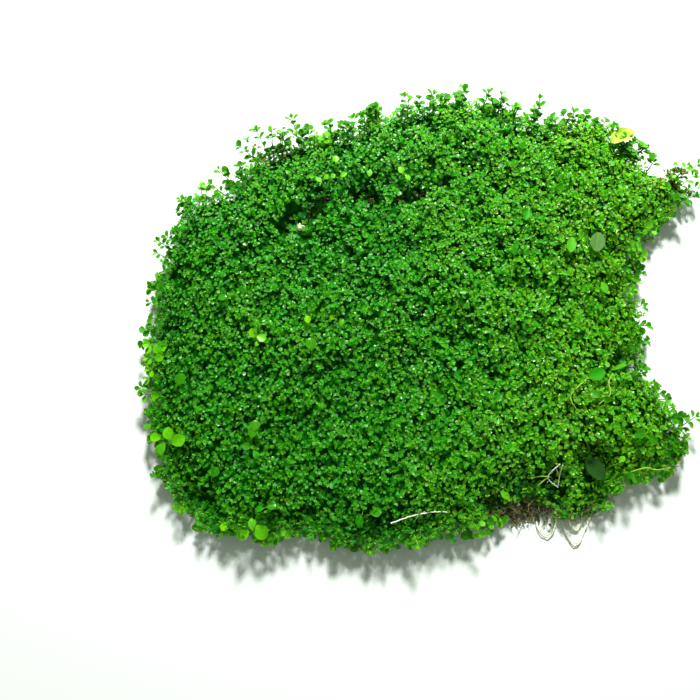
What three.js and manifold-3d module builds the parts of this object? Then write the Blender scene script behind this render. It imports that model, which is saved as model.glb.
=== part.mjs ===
// Monte Carlo baby tears: a loose mat of a creeping water plant, lying on its own root felt.
// Millimetres, +Z up. +X is the right and +Y the far side of the mat as it is seen from the front.
import * as THREE from 'three';
import { mergeVertices } from 'three/addons/utils/BufferGeometryUtils.js';
import ManifoldModule from 'manifold-3d';

const manifold = await ManifoldModule();
manifold.setup();
const { Manifold, Mesh: SolidMesh } = manifold;

// Clearance between neighbouring pieces.
const GAP = 0.3;

// Plan of the leafy carpet, walked once round its rim from the near left corner.
const CARPET_OUTLINE = [
  [-118, -100], [-131, -75], [-137, -35], [-138, 5], [-131, 33], [-123, 53], [-110, 57], [-100, 62],
  [-95, 73], [-86, 83], [-70, 88], [-42, 94], [-14, 107], [12, 113], [42, 111], [56, 102], [95, 98],
  [105, 94], [110, 83], [115, 74], [122, 67], [130, 68], [138, 70], [139, 60], [129, 51], [116, 41],
  [106, 29], [106, 17], [102, 4], [106, -15], [99, -31], [113, -53], [120, -66], [112, -80],
  [86, -90], [77, -102], [64, -103], [56, -95], [44, -94], [30, -104], [-28, -116], [-62, -111], [-95, -111],
];

// Root felt under the carpet.
const FELT_THICKNESS = 5;
const FELT_INSET = 4.5;
const FELT_POINTS = 72;

// Leafy carpet: its height at the rim and over the dome, and the width of the rounded shoulder.
const CARPET_FLOOR = FELT_THICKNESS + GAP;
const RIM_HEIGHT = 13.5;
const DOME_HEIGHT = 19.5;
const SHOULDER_WIDTH = 24;
const SWELL = 1.1;

// Tufts of the carpet: one shoot tip to each cell.
const TUFT_PITCH = 8;
const TUFT_DEPTH = 2.2;
const TUFT_JITTER = 1.8;
const ROW_BEND = 5;

// The tear across the back, its depth at each end, and the hole at its deep end.
const TEAR_LINE = [[-76, 39], [-66, 42], [-50, 52], [-29, 60], [-3, 65], [30, 73]];
const TEAR_HALF_WIDTH = 5;
const TEAR_DEPTH_DEEP_END = 10.5;
const TEAR_DEPTH_SHALLOW_END = 3.5;
const HOLE_AT = [-66, 40];
const HOLE_RADIUS = 2.4;
// It leans forwards and a little to the right, and passes through its place at this height.
const HOLE_LEAN = [24, 5];
const HOLE_LEVEL = 9;

// Hollows where the carpet sinks: x, y, radius, depth.
const HOLLOWS = [
  [102, 27, 9, 6], [77, -82, 12, 8], [-111, -92, 9, 5], [106, 1, 8, 4], [98, -34, 8, 4], [24, -100, 9, 4],
];

// Leaves standing out of the rim.
const RIM_LEAF_SPACING = 10;
const RIM_LEAF_LENGTH = 4.6;

// Leaves and stems of the shoots.
const LEAF_WIDTH_RATIO = 0.86;
const LEAF_THICKNESS = 0.5;
const STEM_RADIUS = 0.45;

// Colours.
const COLOURS = {
  felt: 0x6b5a34,
  carpet: 0x2f8f14,
  shoot: 0x46a81c,
  brightShoot: 0x74c92c,
  greyLeaf: 0x6f9c52,
  darkLeaf: 0x1f5a1c,
  yellowLeaf: 0xd9e27a,
  root: 0xcdbf94,
};

// Seeded random numbers, so that every build is the same plant.
function randomFrom(seed) {
  let state = seed;
  return (low = 0, high = 1) => {
    state = (Math.imul(state, 1664525) + 1013904223) >>> 0;
    return low + ((high - low) * state) / 4294967296;
  };
}

function smoothstep(value, low, high) {
  const t = THREE.MathUtils.clamp((value - low) / (high - low), 0, 1);
  return t * t * (3 - 2 * t);
}

// Points along the carpet's rim.
function rimPoints(count) {
  const curve = new THREE.CatmullRomCurve3(
    CARPET_OUTLINE.map(([x, y]) => new THREE.Vector3(x, y, 0)), true, 'centripetal');
  return curve.getSpacedPoints(count).slice(0, count);
}

// Outward direction at one point of a loop that runs clockwise seen from above.
function outwardAt(loop, index) {
  const before = loop[(index + loop.length - 1) % loop.length];
  const after = loop[(index + 1) % loop.length];
  return new THREE.Vector3(before.y - after.y, after.x - before.x, 0).normalize();
}

function offsetLoop(loop, distance) {
  return loop.map((point, index) => point.clone().addScaledVector(outwardAt(loop, index), distance));
}

function isInside(x, y, loop) {
  let inside = false;
  for (let i = 0, j = loop.length - 1; i < loop.length; j = i++) {
    const [a, b] = [loop[i], loop[j]];
    if ((a.y > y) !== (b.y > y) && x < a.x + ((y - a.y) * (b.x - a.x)) / (b.y - a.y)) inside = !inside;
  }
  return inside;
}

function nearestOnLoop(x, y, loop) {
  let best = { distance: Infinity };
  loop.forEach((point, index) => {
    const distance = Math.hypot(point.x - x, point.y - y);
    if (distance < best.distance) best = { distance, index, point };
  });
  return best;
}

const RIM = rimPoints(480);

// Distance from the tear's line, and how far along it the nearest point is, from 0 to 1.
function tearAt(x, y) {
  const line = TEAR_LINE.map(([px, py]) => new THREE.Vector3(px, py, 0));
  const here = new THREE.Vector3(x, y, 0);
  const nearest = new THREE.Vector3();
  let best = { distance: Infinity, along: 0 };
  for (let i = 0; i + 1 < line.length; i++) {
    const segment = new THREE.Line3(line[i], line[i + 1]);
    const t = segment.closestPointToPointParameter(here, true);
    segment.at(t, nearest);
    const distance = nearest.distanceTo(here);
    if (distance < best.distance) best = { distance, along: (i + t) / (line.length - 1) };
  }
  return best;
}

// Height of the leaf tips over a point of the mat.
function carpetTop(x, y) {
  const fromRim = nearestOnLoop(x, y, RIM).distance;
  let top = THREE.MathUtils.lerp(RIM_HEIGHT, DOME_HEIGHT, smoothstep(fromRim, 0, SHOULDER_WIDTH));
  top += SWELL * (Math.sin(x / 17 + y / 29) + Math.sin(y / 15 - x / 41 + 1.3));
  const tear = tearAt(x, y);
  const depth = THREE.MathUtils.lerp(TEAR_DEPTH_DEEP_END, TEAR_DEPTH_SHALLOW_END, tear.along);
  top -= depth * (1 - smoothstep(tear.distance, 0, 2 * TEAR_HALF_WIDTH));
  for (const [hx, hy, radius, sink] of HOLLOWS) {
    top -= sink * (1 - smoothstep(Math.hypot(x - hx, y - hy), 0, radius));
  }
  return Math.max(top, CARPET_FLOOR + TUFT_DEPTH + 1);
}

// Turns a closed three.js geometry into a solid that can be joined and cut.
function toSolid(geometry) {
  const bare = geometry.clone();
  bare.deleteAttribute('normal');
  bare.deleteAttribute('uv');
  const merged = mergeVertices(bare, 1e-4);
  return new Manifold(new SolidMesh({
    numProp: 3,
    vertProperties: new Float32Array(merged.attributes.position.array),
    triVerts: new Uint32Array(merged.index.array),
  }));
}

function toGeometry(solid) {
  const mesh = solid.getMesh();
  const geometry = new THREE.BufferGeometry();
  geometry.setAttribute('position', new THREE.BufferAttribute(mesh.vertProperties, 3));
  geometry.setIndex(new THREE.BufferAttribute(mesh.triVerts, 1));
  geometry.computeVertexNormals();
  return geometry;
}

function biggestBody(solid) {
  return solid.decompose().reduce((a, b) => (b.volume() > a.volume() ? b : a));
}

function geometryFrom(positions, faces) {
  const geometry = new THREE.BufferGeometry();
  geometry.setAttribute('position', new THREE.Float32BufferAttribute(positions.flat(), 3));
  geometry.setIndex(faces.flat());
  return geometry;
}

// Place of a corner of the tuft grid, whose rows run aslant and bend like waves.
function tuftCorner(i, j) {
  const [x, y] = [(i - 0.4 * j) * TUFT_PITCH, (j + 0.4 * i) * TUFT_PITCH];
  return [x * 0.93 + ROW_BEND * Math.sin(y / 27), y * 0.93 + ROW_BEND * Math.sin(x / 22 + 2)];
}

// Cells of the tuft grid that lie inside the rim, without cells that only touch at a corner.
function tuftCells() {
  const kept = new Set();
  const key = (i, j) => `${i},${j}`;
  const reach = Math.ceil(220 / TUFT_PITCH);
  for (let i = -reach; i < reach; i++) {
    for (let j = -reach; j < reach; j++) {
      if (isInside(...tuftCorner(i + 0.5, j + 0.5), RIM)) kept.add(key(i, j));
    }
  }
  let changed = true;
  while (changed) {
    changed = false;
    for (const cell of [...kept]) {
      const [i, j] = cell.split(',').map(Number);
      const sides = [[1, 0], [-1, 0], [0, 1], [0, -1]].filter(([a, b]) => kept.has(key(i + a, j + b)));
      const cornerOnly = [[1, 1], [1, -1], [-1, 1], [-1, -1]].some(([a, b]) =>
        kept.has(key(i + a, j + b)) && !kept.has(key(i + a, j)) && !kept.has(key(i, j + b)));
      if (sides.length < 2 || cornerOnly) {
        kept.delete(cell);
        changed = true;
      }
    }
  }
  return [...kept].map((cell) => cell.split(',').map(Number));
}

// The carpet's body: a tufted top, a rounded side wall and a flat floor.
function carpetBody() {
  const random = randomFrom(7);
  const cells = tuftCells();
  const positions = [];
  const faces = [];
  const corners = new Map();
  const corner = (i, j) => {
    const key = `${i},${j}`;
    if (!corners.has(key)) {
      const [x, y] = tuftCorner(i, j);
      corners.set(key, positions.length);
      positions.push([x + random(-TUFT_JITTER, TUFT_JITTER), y + random(-TUFT_JITTER, TUFT_JITTER), 0]);
    }
    return corners.get(key);
  };
  const tufts = cells.map(([i, j]) => [corner(i, j), corner(i + 1, j), corner(i + 1, j + 1), corner(i, j + 1)]);

  // Edges used by one cell only are the rim, and their corners move onto the outline.
  const edges = new Map();
  for (const tuft of tufts) {
    tuft.forEach((a, k) => {
      const b = tuft[(k + 1) % 4];
      if (edges.has(`${b},${a}`)) edges.delete(`${b},${a}`);
      else edges.set(`${a},${b}`, [a, b]);
    });
  }
  const next = new Map([...edges.values()]);
  for (const index of next.keys()) {
    const { point } = nearestOnLoop(positions[index][0], positions[index][1], RIM);
    positions[index][0] = THREE.MathUtils.lerp(positions[index][0], point.x, 0.75);
    positions[index][1] = THREE.MathUtils.lerp(positions[index][1], point.y, 0.75);
  }
  for (const place of positions) {
    place[2] = carpetTop(place[0], place[1]) - TUFT_DEPTH * random(0.7, 1.1);
  }

  // Each cell rises to the tip of its shoot.
  for (const tuft of tufts) {
    const stray = tuft.some((k) => next.has(k)) ? 0.4 : TUFT_JITTER * 0.7;
    const x = random(-stray, stray) + tuft.reduce((sum, k) => sum + positions[k][0] / 4, 0);
    const y = random(-stray, stray) + tuft.reduce((sum, k) => sum + positions[k][1] / 4, 0);
    const apex = positions.length;
    positions.push([x, y, carpetTop(x, y) + random(-1, 0.6)]);
    tuft.forEach((a, k) => faces.push([a, tuft[(k + 1) % 4], apex]));
  }

  // Side wall: the rim swells out at half height and draws in at the floor.
  const ring = [next.keys().next().value];
  while (next.get(ring[ring.length - 1]) !== ring[0]) ring.push(next.get(ring[ring.length - 1]));
  const rimLoop = ring.map((k) => new THREE.Vector3(...positions[k]));
  const wall = [[0.55, 0.4, 2.2], [0, -1.6, -0.6]].map(([height, low, high]) => rimLoop.map((point, k) => {
    const out = outwardAt(rimLoop, k).multiplyScalar(-random(low, high));
    positions.push([point.x + out.x, point.y + out.y, THREE.MathUtils.lerp(CARPET_FLOOR, point.z, height)]);
    return positions.length - 1;
  }));
  [ring, wall[0]].forEach((upper, level) => upper.forEach((a, k) => {
    const b = upper[(k + 1) % ring.length];
    const [c, d] = [wall[level][k], wall[level][(k + 1) % ring.length]];
    faces.push([a, c, b], [b, c, d]);
  }));

  const floor = wall[1].map((k) => new THREE.Vector2(positions[k][0], positions[k][1]));
  for (const [a, b, c] of THREE.ShapeUtils.triangulateShape(floor, [])) {
    const flip = THREE.ShapeUtils.area([floor[a], floor[b], floor[c]]) > 0;
    faces.push(flip ? [wall[1][a], wall[1][c], wall[1][b]] : [wall[1][a], wall[1][b], wall[1][c]]);
  }
  return toSolid(geometryFrom(positions, faces));
}

// One leaf: an oval lens that starts at the origin and points along +X. grow fattens it on every side.
function leafSolid(length, { grow = 0, widthRatio = LEAF_WIDTH_RATIO, sides = 4 } = {}) {
  const half = (length * widthRatio) / 2 + grow;
  const thick = LEAF_THICKNESS / 2 + grow;
  const positions = Array.from({ length: sides }, (_, k) => {
    const angle = (2 * Math.PI * k) / sides;
    const across = -half * Math.sin(angle);
    return [length / 2 - (length / 2 + grow) * Math.cos(angle), across, (0.2 * Math.abs(across)) / half];
  });
  positions.push([length / 2, 0, thick], [length / 2, 0, -thick]);
  const faces = Array.from({ length: sides }, (_, k) => [
    [k, (k + 1) % sides, sides], [(k + 1) % sides, k, sides + 1]]).flat();
  return toSolid(geometryFrom(positions, faces));
}

// Solid moved so that its +X points along heading, with its upper side kept up and rolled by roll.
function aim(solid, origin, heading, roll = 0) {
  const x = heading.clone().normalize();
  const side = new THREE.Vector3(0, 0, 1).cross(x);
  if (side.lengthSq() < 1e-6) side.set(0, 1, 0);
  side.normalize();
  const frame = new THREE.Matrix4().makeBasis(x, side, x.clone().cross(side));
  frame.multiply(new THREE.Matrix4().makeRotationX(roll)).setPosition(origin);
  return solid.transform(frame.elements);
}

// Thin round tube along a path, for stems and roots.
function tubeSolid(points, radius, steps, sides = 4) {
  const circle = new THREE.Shape();
  circle.absarc(0, 0, radius, 0, 2 * Math.PI, false);
  const path = new THREE.CatmullRomCurve3(points);
  return toSolid(new THREE.ExtrudeGeometry(circle, {
    steps, curveSegments: sides / 2, bevelEnabled: false, extrudePath: path }));
}

// A shoot: a stem with pairs of opposite leaves, each pair a quarter turn from the one below it.
// With grow it is the plain pocket that the shoot stands in.
function shootSolid({ points, pairs, leaf, seed }, grow = 0) {
  const random = randomFrom(seed);
  const path = new THREE.CatmullRomCurve3(points);
  const parts = [tubeSolid(points, STEM_RADIUS + grow, 3)];
  for (let pair = 0; pair < pairs; pair++) {
    const t = THREE.MathUtils.lerp(0.42, 0.98, pairs > 1 ? pair / (pairs - 1) : 1);
    const along = path.getTangentAt(t);
    const across = new THREE.Vector3(-along.y, along.x, 0);
    if (across.lengthSq() < 1e-4) across.set(1, 0, 0);
    across.normalize().applyAxisAngle(along, (pair % 2) * (Math.PI / 2) + random(-0.4, 0.4));
    const size = leaf * (pair === pairs - 1 ? 0.8 : 1) * random(0.9, 1.1);
    for (const side of [1, -1]) {
      const heading = across.clone().multiplyScalar(side).addScaledVector(along, 0.45);
      parts.push(aim(leafSolid(size, { grow }), path.getPointAt(t), heading, random(-0.3, 0.3)));
    }
  }
  return grow > 0 ? Manifold.hull(parts) : Manifold.union(parts);
}

// Shoots that stand out round the edge: name, place of the tip, number of leaf pairs.
const EDGE_SHOOTS = [
  ['shoot_back_left_1', [-108, 72, 17], 2], ['shoot_back_left_2', [-102, 87, 19], 3],
  ['shoot_back_left_3', [-92, 97, 20], 3], ['shoot_back_left_4', [-72, 103, 22], 4],
  ['shoot_back_1', [-39, 105, 19], 3], ['shoot_back_2', [-26, 108, 20], 3],
  ['shoot_back_3', [-11, 118, 20], 3], ['shoot_back_4', [5, 120, 19], 3],
  ['shoot_back_5', [23, 122, 20], 3], ['shoot_back_6', [36, 119, 21], 3],
  ['shoot_back_7', [63, 114, 23], 3], ['shoot_back_right', [122, 87, 17], 3],
  ['runner_right_1', [153, 80, 13], 4], ['runner_right_2', [151, 62, 8], 4],
  ['runner_right_3', [128, 42, 8], 3], ['shoot_right_1', [114, 19, 11], 3],
  ['shoot_right_2', [114, -1, 12], 2], ['shoot_right_3', [116, -12, 10], 3],
  ['runner_right_4', [134, -57, 11], 3], ['shoot_front', [-34, -123, 6], 2],
  ['runner_left', [-147, -45, 15], 3], ['shoot_left_1', [-145, 7, 15], 3],
  ['shoot_left_2', [-139, 35, 16], 3], ['shoot_left_3', [-130, 56, 18], 3],
];
const SHOOT_DEPTH = 7;
const SHOOT_FOOT_HEIGHT = 8;
const SHOOT_LEAF = 4;

function edgeShoot([x, y, z], pairs, seed) {
  const tip = new THREE.Vector3(x, y, z);
  const { point, index } = nearestOnLoop(x, y, RIM);
  const foot = point.clone().addScaledVector(outwardAt(RIM, index), -SHOOT_DEPTH).setZ(SHOOT_FOOT_HEIGHT);
  const knee = foot.clone().lerp(tip, 0.5);
  knee.z = THREE.MathUtils.lerp(foot.z, tip.z, 0.75);
  return { points: [foot, knee, tip], pairs, leaf: SHOOT_LEAF, seed };
}

// Paler shoots with broad leaves, standing over the carpet: name, place of the tip, leaf length.
const BRIGHT_SHOOTS = [
  ['bright_shoot_left', [-125, -71], 6.4], ['bright_shoot_front', [-85, -112], 5],
  ['bright_shoot_back', [-60, 64], 4.6], ['bright_shoot_tear', [-12, 67], 4.2],
  ['bright_shoot_middle', [-84, -75], 5], ['bright_shoot_centre', [-85, -22], 5.4],
];
const BRIGHT_SHOOT_RISE = 3;

function brightShoot([x, y], leaf, seed) {
  const top = carpetTop(x, y);
  const tip = new THREE.Vector3(x, y, top + BRIGHT_SHOOT_RISE);
  const lean = nearestOnLoop(x, y, RIM).index;
  const foot = tip.clone().addScaledVector(outwardAt(RIM, lean), -4).setZ(top - 5);
  return { points: [foot, foot.clone().lerp(tip, 0.6), tip], pairs: 2, leaf, seed };
}

// Loose leaves lying on the carpet: name, place, length, width ratio, heading in degrees, colour.
const LOOSE_LEAVES = [
  ['round_leaf_grey', [86, 29], 10.8, 0.88, 80, 'greyLeaf'],
  ['oval_leaf_bright', [72.5, 27.5], 8.8, 0.74, 80, 'brightShoot'],
  ['oval_leaf_right', [89, 6], 6.5, 0.76, 110, 'brightShoot'],
  ['oval_leaf_back', [51.5, 44.5], 7, 0.85, 70, 'brightShoot'],
  ['round_leaf_green', [80, -39], 9, 0.88, 20, 'shoot'],
  ['strap_leaf_right', [97.5, -33], 13, 0.22, 22, 'brightShoot'],
  ['round_leaf_dark', [79, -84], 12.5, 0.58, -55, 'darkLeaf'],
  ['yellow_leaf', [107, 91.5], 10, 0.7, 25, 'yellowLeaf'],
];
const LOOSE_LEAF_RISE = 1.2;

function looseLeaf([x, y], length, widthRatio, degrees, grow = 0) {
  const angle = THREE.MathUtils.degToRad(degrees);
  const heading = new THREE.Vector3(Math.cos(angle), Math.sin(angle), 0.12);
  const origin = new THREE.Vector3(x, y, carpetTop(x, y) + LOOSE_LEAF_RISE);
  origin.addScaledVector(heading, -length / 2);
  return aim(leafSolid(length, { grow, widthRatio, sides: 10 }), origin, heading);
}

// Bare roots that come out of the felt and arch over the ground: name, then x, y and z along each.
const ROOT_RADIUS = 0.4;
const GROUND_ROOTS = [
  ['root_loop_1', [[59, -88, 3], [62, -103, 2], [61, -112, 1], [57, -116, 0.8], [53, -113, 0.8], [52, -107, 1]]],
  ['root_loop_2', [[64, -90, 3], [64, -106, 1.6], [67, -116, 0.9], [71, -120, 0.8], [75, -114, 1], [81, -102, 2]]],
  ['root_loop_3', [[70, -91, 2], [67, -106, 2], [71, -113, 1.2], [75, -108, 1.4], [80, -97, 2]]],
];

// Bare roots and leafless runners on top of the carpet: name, then x and y along each.
const ROOT_OVER_CARPET = 0.8;
const TOP_ROOTS = [
  ['bare_runner_front', [[-21, -109], [-12, -106], [-2, -104], [7, -104]]],
  ['bare_root_bent', [[59, -82], [55, -88], [60, -93]]],
  ['bare_runner_side_1', [[88.5, -38.5], [85.5, -43], [85, -49], [79, -54]]],
  ['bare_runner_side_2', [[74, -42], [66, -49], [66, -54], [71, -59]]],
];

function rootSolid(points, grow = 0) {
  return tubeSolid(points.map((point) => new THREE.Vector3(...point)), ROOT_RADIUS + grow, 2 * points.length);
}

function overCarpet(route) {
  return route.map(([x, y]) => [x, y, carpetTop(x, y) + ROOT_OVER_CARPET]);
}

// Root felt: a flat slab that follows the carpet's plan a little inside it.
function feltSolid() {
  const random = randomFrom(21);
  const loop = offsetLoop(rimPoints(FELT_POINTS), -FELT_INSET);
  const shape = new THREE.Shape(loop.map((point, k) => {
    const out = outwardAt(loop, k).multiplyScalar(random(-1.2, 0.8));
    return new THREE.Vector2(point.x + out.x, point.y + out.y);
  }));
  return toSolid(new THREE.ExtrudeGeometry(shape, { depth: FELT_THICKNESS, bevelEnabled: false }));
}

// The hole at the deep end of the tear, right through the mat.
function holeSolid(extra) {
  const hole = new THREE.CylinderGeometry(HOLE_RADIUS + extra, HOLE_RADIUS + extra, 60, 9);
  return toSolid(hole).rotate([90 + HOLE_LEAN[0], HOLE_LEAN[1], 0]).translate([...HOLE_AT, HOLE_LEVEL]);
}

// Small leaves fused to the carpet's side wall, so that its edge is leafy.
function rimLeaves() {
  const random = randomFrom(33);
  const leaves = [];
  const step = Math.round(RIM_LEAF_SPACING / RIM[0].distanceTo(RIM[1]));
  for (let k = 0; k < RIM.length - step / 2; k += step) {
    const out = outwardAt(RIM, k).applyAxisAngle(new THREE.Vector3(0, 0, 1), random(-0.7, 0.7));
    const origin = RIM[k].clone().addScaledVector(out, -1).setZ(random(CARPET_FLOOR + 1.5, RIM_HEIGHT - 3));
    leaves.push(aim(leafSolid(RIM_LEAF_LENGTH * random(0.8, 1.15)), origin, out.setZ(random(-0.5, 0.6))));
  }
  return leaves;
}

function addPiece(group, name, solid, colour, roughness = 0.45) {
  const material = new THREE.MeshStandardMaterial({ color: COLOURS[colour], roughness, metalness: 0 });
  const piece = new THREE.Mesh(toGeometry(solid), material);
  piece.name = name;
  group.add(piece);
}

// Every piece that lies in or on the carpet comes with its own clearance cut out of it.
const inserts = [
  ...EDGE_SHOOTS.map(([name, tip, pairs], k) => {
    const shoot = edgeShoot(tip, pairs, 100 + k);
    return { name, colour: 'shoot', build: (grow) => shootSolid(shoot, grow) };
  }),
  ...BRIGHT_SHOOTS.map(([name, place, leaf], k) => {
    const shoot = brightShoot(place, leaf, 200 + k);
    return { name, colour: 'brightShoot', build: (grow) => shootSolid(shoot, grow) };
  }),
  ...LOOSE_LEAVES.map(([name, place, length, ratio, degrees, colour]) => (
    { name, colour, build: (grow) => looseLeaf(place, length, ratio, degrees, grow) })),
  ...GROUND_ROOTS.map(([name, route]) => ({ name, colour: 'root', build: (grow) => rootSolid(route, grow) })),
  ...TOP_ROOTS.map(([name, route]) => (
    { name, colour: 'root', build: (grow) => rootSolid(overCarpet(route), grow) })),
];

const clearances = inserts.map(({ build }) => build(GAP));
const carpet = Manifold.union([carpetBody(), ...rimLeaves()]);
const felt = feltSolid();

const mat = new THREE.Group();
addPiece(mat, 'root_felt', biggestBody(felt.subtract(Manifold.union([holeSolid(0.6), ...clearances]))), 'felt', 0.95);
addPiece(mat, 'leaf_carpet', biggestBody(carpet.subtract(Manifold.union([holeSolid(0), ...clearances]))), 'carpet');
for (const { name, colour, build } of inserts) addPiece(mat, name, biggestBody(build(0)), colour);

// The origin is the middle of the mat's box, at the height of the surface it lies on.
const box = new THREE.Box3().setFromObject(mat);
const centre = box.getCenter(new THREE.Vector3());
mat.position.set(-centre.x, -centre.y, -box.min.z);

export default mat;
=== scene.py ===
"""Monte Carlo baby tears: a loose mat of a creeping water plant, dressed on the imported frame.

Shapes are worked out in millimetres and become metres when a mesh is made.
"""
import math
from collections import namedtuple

import bmesh
import bpy
import numpy as np
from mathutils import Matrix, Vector
from mathutils.bvhtree import BVHTree


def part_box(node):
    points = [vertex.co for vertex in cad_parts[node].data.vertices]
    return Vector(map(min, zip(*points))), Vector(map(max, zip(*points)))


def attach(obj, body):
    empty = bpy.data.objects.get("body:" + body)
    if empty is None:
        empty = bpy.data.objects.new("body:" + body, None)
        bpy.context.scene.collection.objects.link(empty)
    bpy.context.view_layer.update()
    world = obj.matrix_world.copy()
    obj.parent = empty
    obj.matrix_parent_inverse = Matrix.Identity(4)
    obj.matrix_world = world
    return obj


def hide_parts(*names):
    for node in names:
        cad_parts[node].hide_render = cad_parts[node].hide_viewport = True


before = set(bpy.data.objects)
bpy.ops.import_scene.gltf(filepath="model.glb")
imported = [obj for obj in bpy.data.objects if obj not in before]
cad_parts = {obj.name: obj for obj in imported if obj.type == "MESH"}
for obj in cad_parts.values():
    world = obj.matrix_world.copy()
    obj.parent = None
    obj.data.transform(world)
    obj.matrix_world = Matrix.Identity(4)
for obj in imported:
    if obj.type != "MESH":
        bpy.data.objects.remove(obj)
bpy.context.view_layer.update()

MM = 0.001
UP = np.array([0.0, 0.0, 1.0])
SEED = 41

# The carpet's shoots. Each pair of leaves has its depth under the tip, its size and its lift in degrees.
LEAF_LENGTH = 2.3
LEAF_SPREAD = 0.17
LEAF_PAIRS = ((0.0, 0.52, 60), (0.95, 0.85, 34), (2.3, 1.05, 12))
SHOOT_SPACING = 3.3
STEM_RADIUS = 0.26
STEM_DEPTH = 8.0
SMALL_GAP = -1.6
GAP_DEPTH = 1.6
HUMMOCKS = 1.5

# The leaves are small on the left and larger, younger and brighter on the right of the plan.
GROWTH_FROM_X = -30
GROWTH_TO_X = 90
SIZE_LEFT = 0.9
SIZE_RIGHT = 1.2

# Where the carpet is thin: place in plan, radius, share of the shoots left out, and how far it sinks.
THIN_PLACES = (
    (132, 61, 15, 0.2, 1), (-87, 78, 8, 0.4, 0), (-98, 60, 7, 0.3, 0), (57, -95, 10, 0.45, 5),
    (72, -97, 10, 0.4, 5), (46, -100, 9, 0.45, 4), (98, -32, 7, 0.4, 1), (104, 20, 5, 0.35, 0),
    (-110, -94, 9, 0.3, 2), (-132, 14, 6, 0.35, 2), (4, 74, 4, 0.6, 3), (33, -103, 8, 0.6, 5),
)

# Rim of the carpet: tiers of shoots, one above the other, each with its height, reach and climb.
RIM_TIERS = ((3.2, 0.0, 0.6), (6.4, 1.0, 0.8), (9.6, 1.1, 1.1), (12.2, 0.2, 1.6))
RIM_SPACING = 2.9
RIM_SPRIGS = 150
RIM_LEAVES = 1800
LIME_SHARE = 0.16
BACK_FROM_Y = 82
BACK_SPRIGS = 34
ARM_FROM = (113, 54)
ARM_TO = (133, 67)
ARM_SPRIGS = 66

# The tear across the back, with its half width at each point, and the hole at its deep end.
TEAR_LINE = (
    (-74, 40, 3.8), (-67, 46, 5.2), (-57, 53, 4.0), (-50, 57, 0.4), (-42, 58, 0.4), (-37, 58, 2.8),
    (-33, 57, 0.6), (-27, 56, 4.0), (-21, 55, 0.5), (-16, 55, 0.5), (-10, 56, 4.0), (-2, 58, 3.4),
    (4, 62, 0.5), (10, 65, 2.4), (16, 68, 0.5), (24, 70, 1.8), (28, 71, 0.4),
)
HOLE_AT = (-66, 40, 9)
HOLE_LEAN = (24, 5)
HOLE_RADIUS = 2.4
HOLE_CLEAR = 5.4
TEAR_STEMS = 60
TEAR_LEAVES = 40

# Steps along the routes of sprigs and roots, and the radius of a sprig's stem.
SPRIG_STEPS = 40
ROOT_STEPS = 32
SPRIG_RADIUS = 0.32

# The thatch of old shoots and the root felt: how far inside the rim, spacing of the points, and levels.
THATCH = (2.4, 3.4, (5.1, 5.9, 7.2))
THATCH_LOWEST = 6.2
FELT = (4.4, 4.2, (0.25, 1.8, 3.4, 4.9))
FELT_EDGE = 6.5
FELT_ROUGHNESS = 0.5
FELT_STRANDS = 220
FELT_FIBRES = 380

# Loose leaves on the carpet: place in plan, length, width over length, heading in degrees.
LOOSE_LEAVES = {
    "round_leaf_grey": (86, 29, 10.8, 0.92, 80), "oval_leaf_bright": (72.5, 27.5, 8.8, 0.74, 80),
    "oval_leaf_right": (89, 6, 6.5, 0.76, 110), "oval_leaf_back": (51.5, 44.5, 7, 0.85, 70),
    "round_leaf_green": (80, -39, 9, 0.92, 20), "strap_leaf_right": (97.5, -33, 13, 0.22, 22),
    "round_leaf_dark": (79, -84, 13.5, 0.8, -55), "yellow_leaf": (107, 91.5, 11, 0.8, 25),
}
LOOSE_LEAF_SLOPE = 0.12

# Shoots that stand out round the edge: place of the tip in plan, number of leaf pairs.
EDGE_SHOOTS = {
    "shoot_back_left_1": (-108, 72, 17, 2), "shoot_back_left_2": (-102, 87, 19, 3),
    "shoot_back_left_3": (-92, 97, 20, 3), "shoot_back_left_4": (-72, 103, 22, 4),
    "shoot_back_1": (-39, 105, 19, 3), "shoot_back_2": (-26, 108, 20, 3),
    "shoot_back_3": (-11, 118, 20, 3), "shoot_back_4": (5, 120, 19, 3), "shoot_back_5": (23, 122, 20, 3),
    "shoot_back_6": (36, 119, 21, 3), "shoot_back_7": (63, 114, 23, 3),
    "shoot_back_right": (122, 87, 17, 3), "runner_right_1": (153, 80, 13, 4),
    "runner_right_2": (151, 62, 8, 4), "runner_right_3": (128, 42, 8, 3),
    "shoot_right_1": (114, 19, 11, 3), "shoot_right_2": (114, -1, 12, 2),
    "shoot_right_3": (116, -12, 10, 3), "runner_right_4": (134, -57, 11, 3),
    "shoot_front": (-34, -123, 6, 2), "runner_left": (-147, -45, 15, 3), "shoot_left_1": (-145, 7, 15, 3),
    "shoot_left_2": (-139, 35, 16, 3), "shoot_left_3": (-130, 56, 18, 3),
}
SHOOT_DEPTH = 7
SHOOT_FOOT_HEIGHT = 8
SHOOT_LEAF = 4.5
SHOOT_END = 3.5

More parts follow.
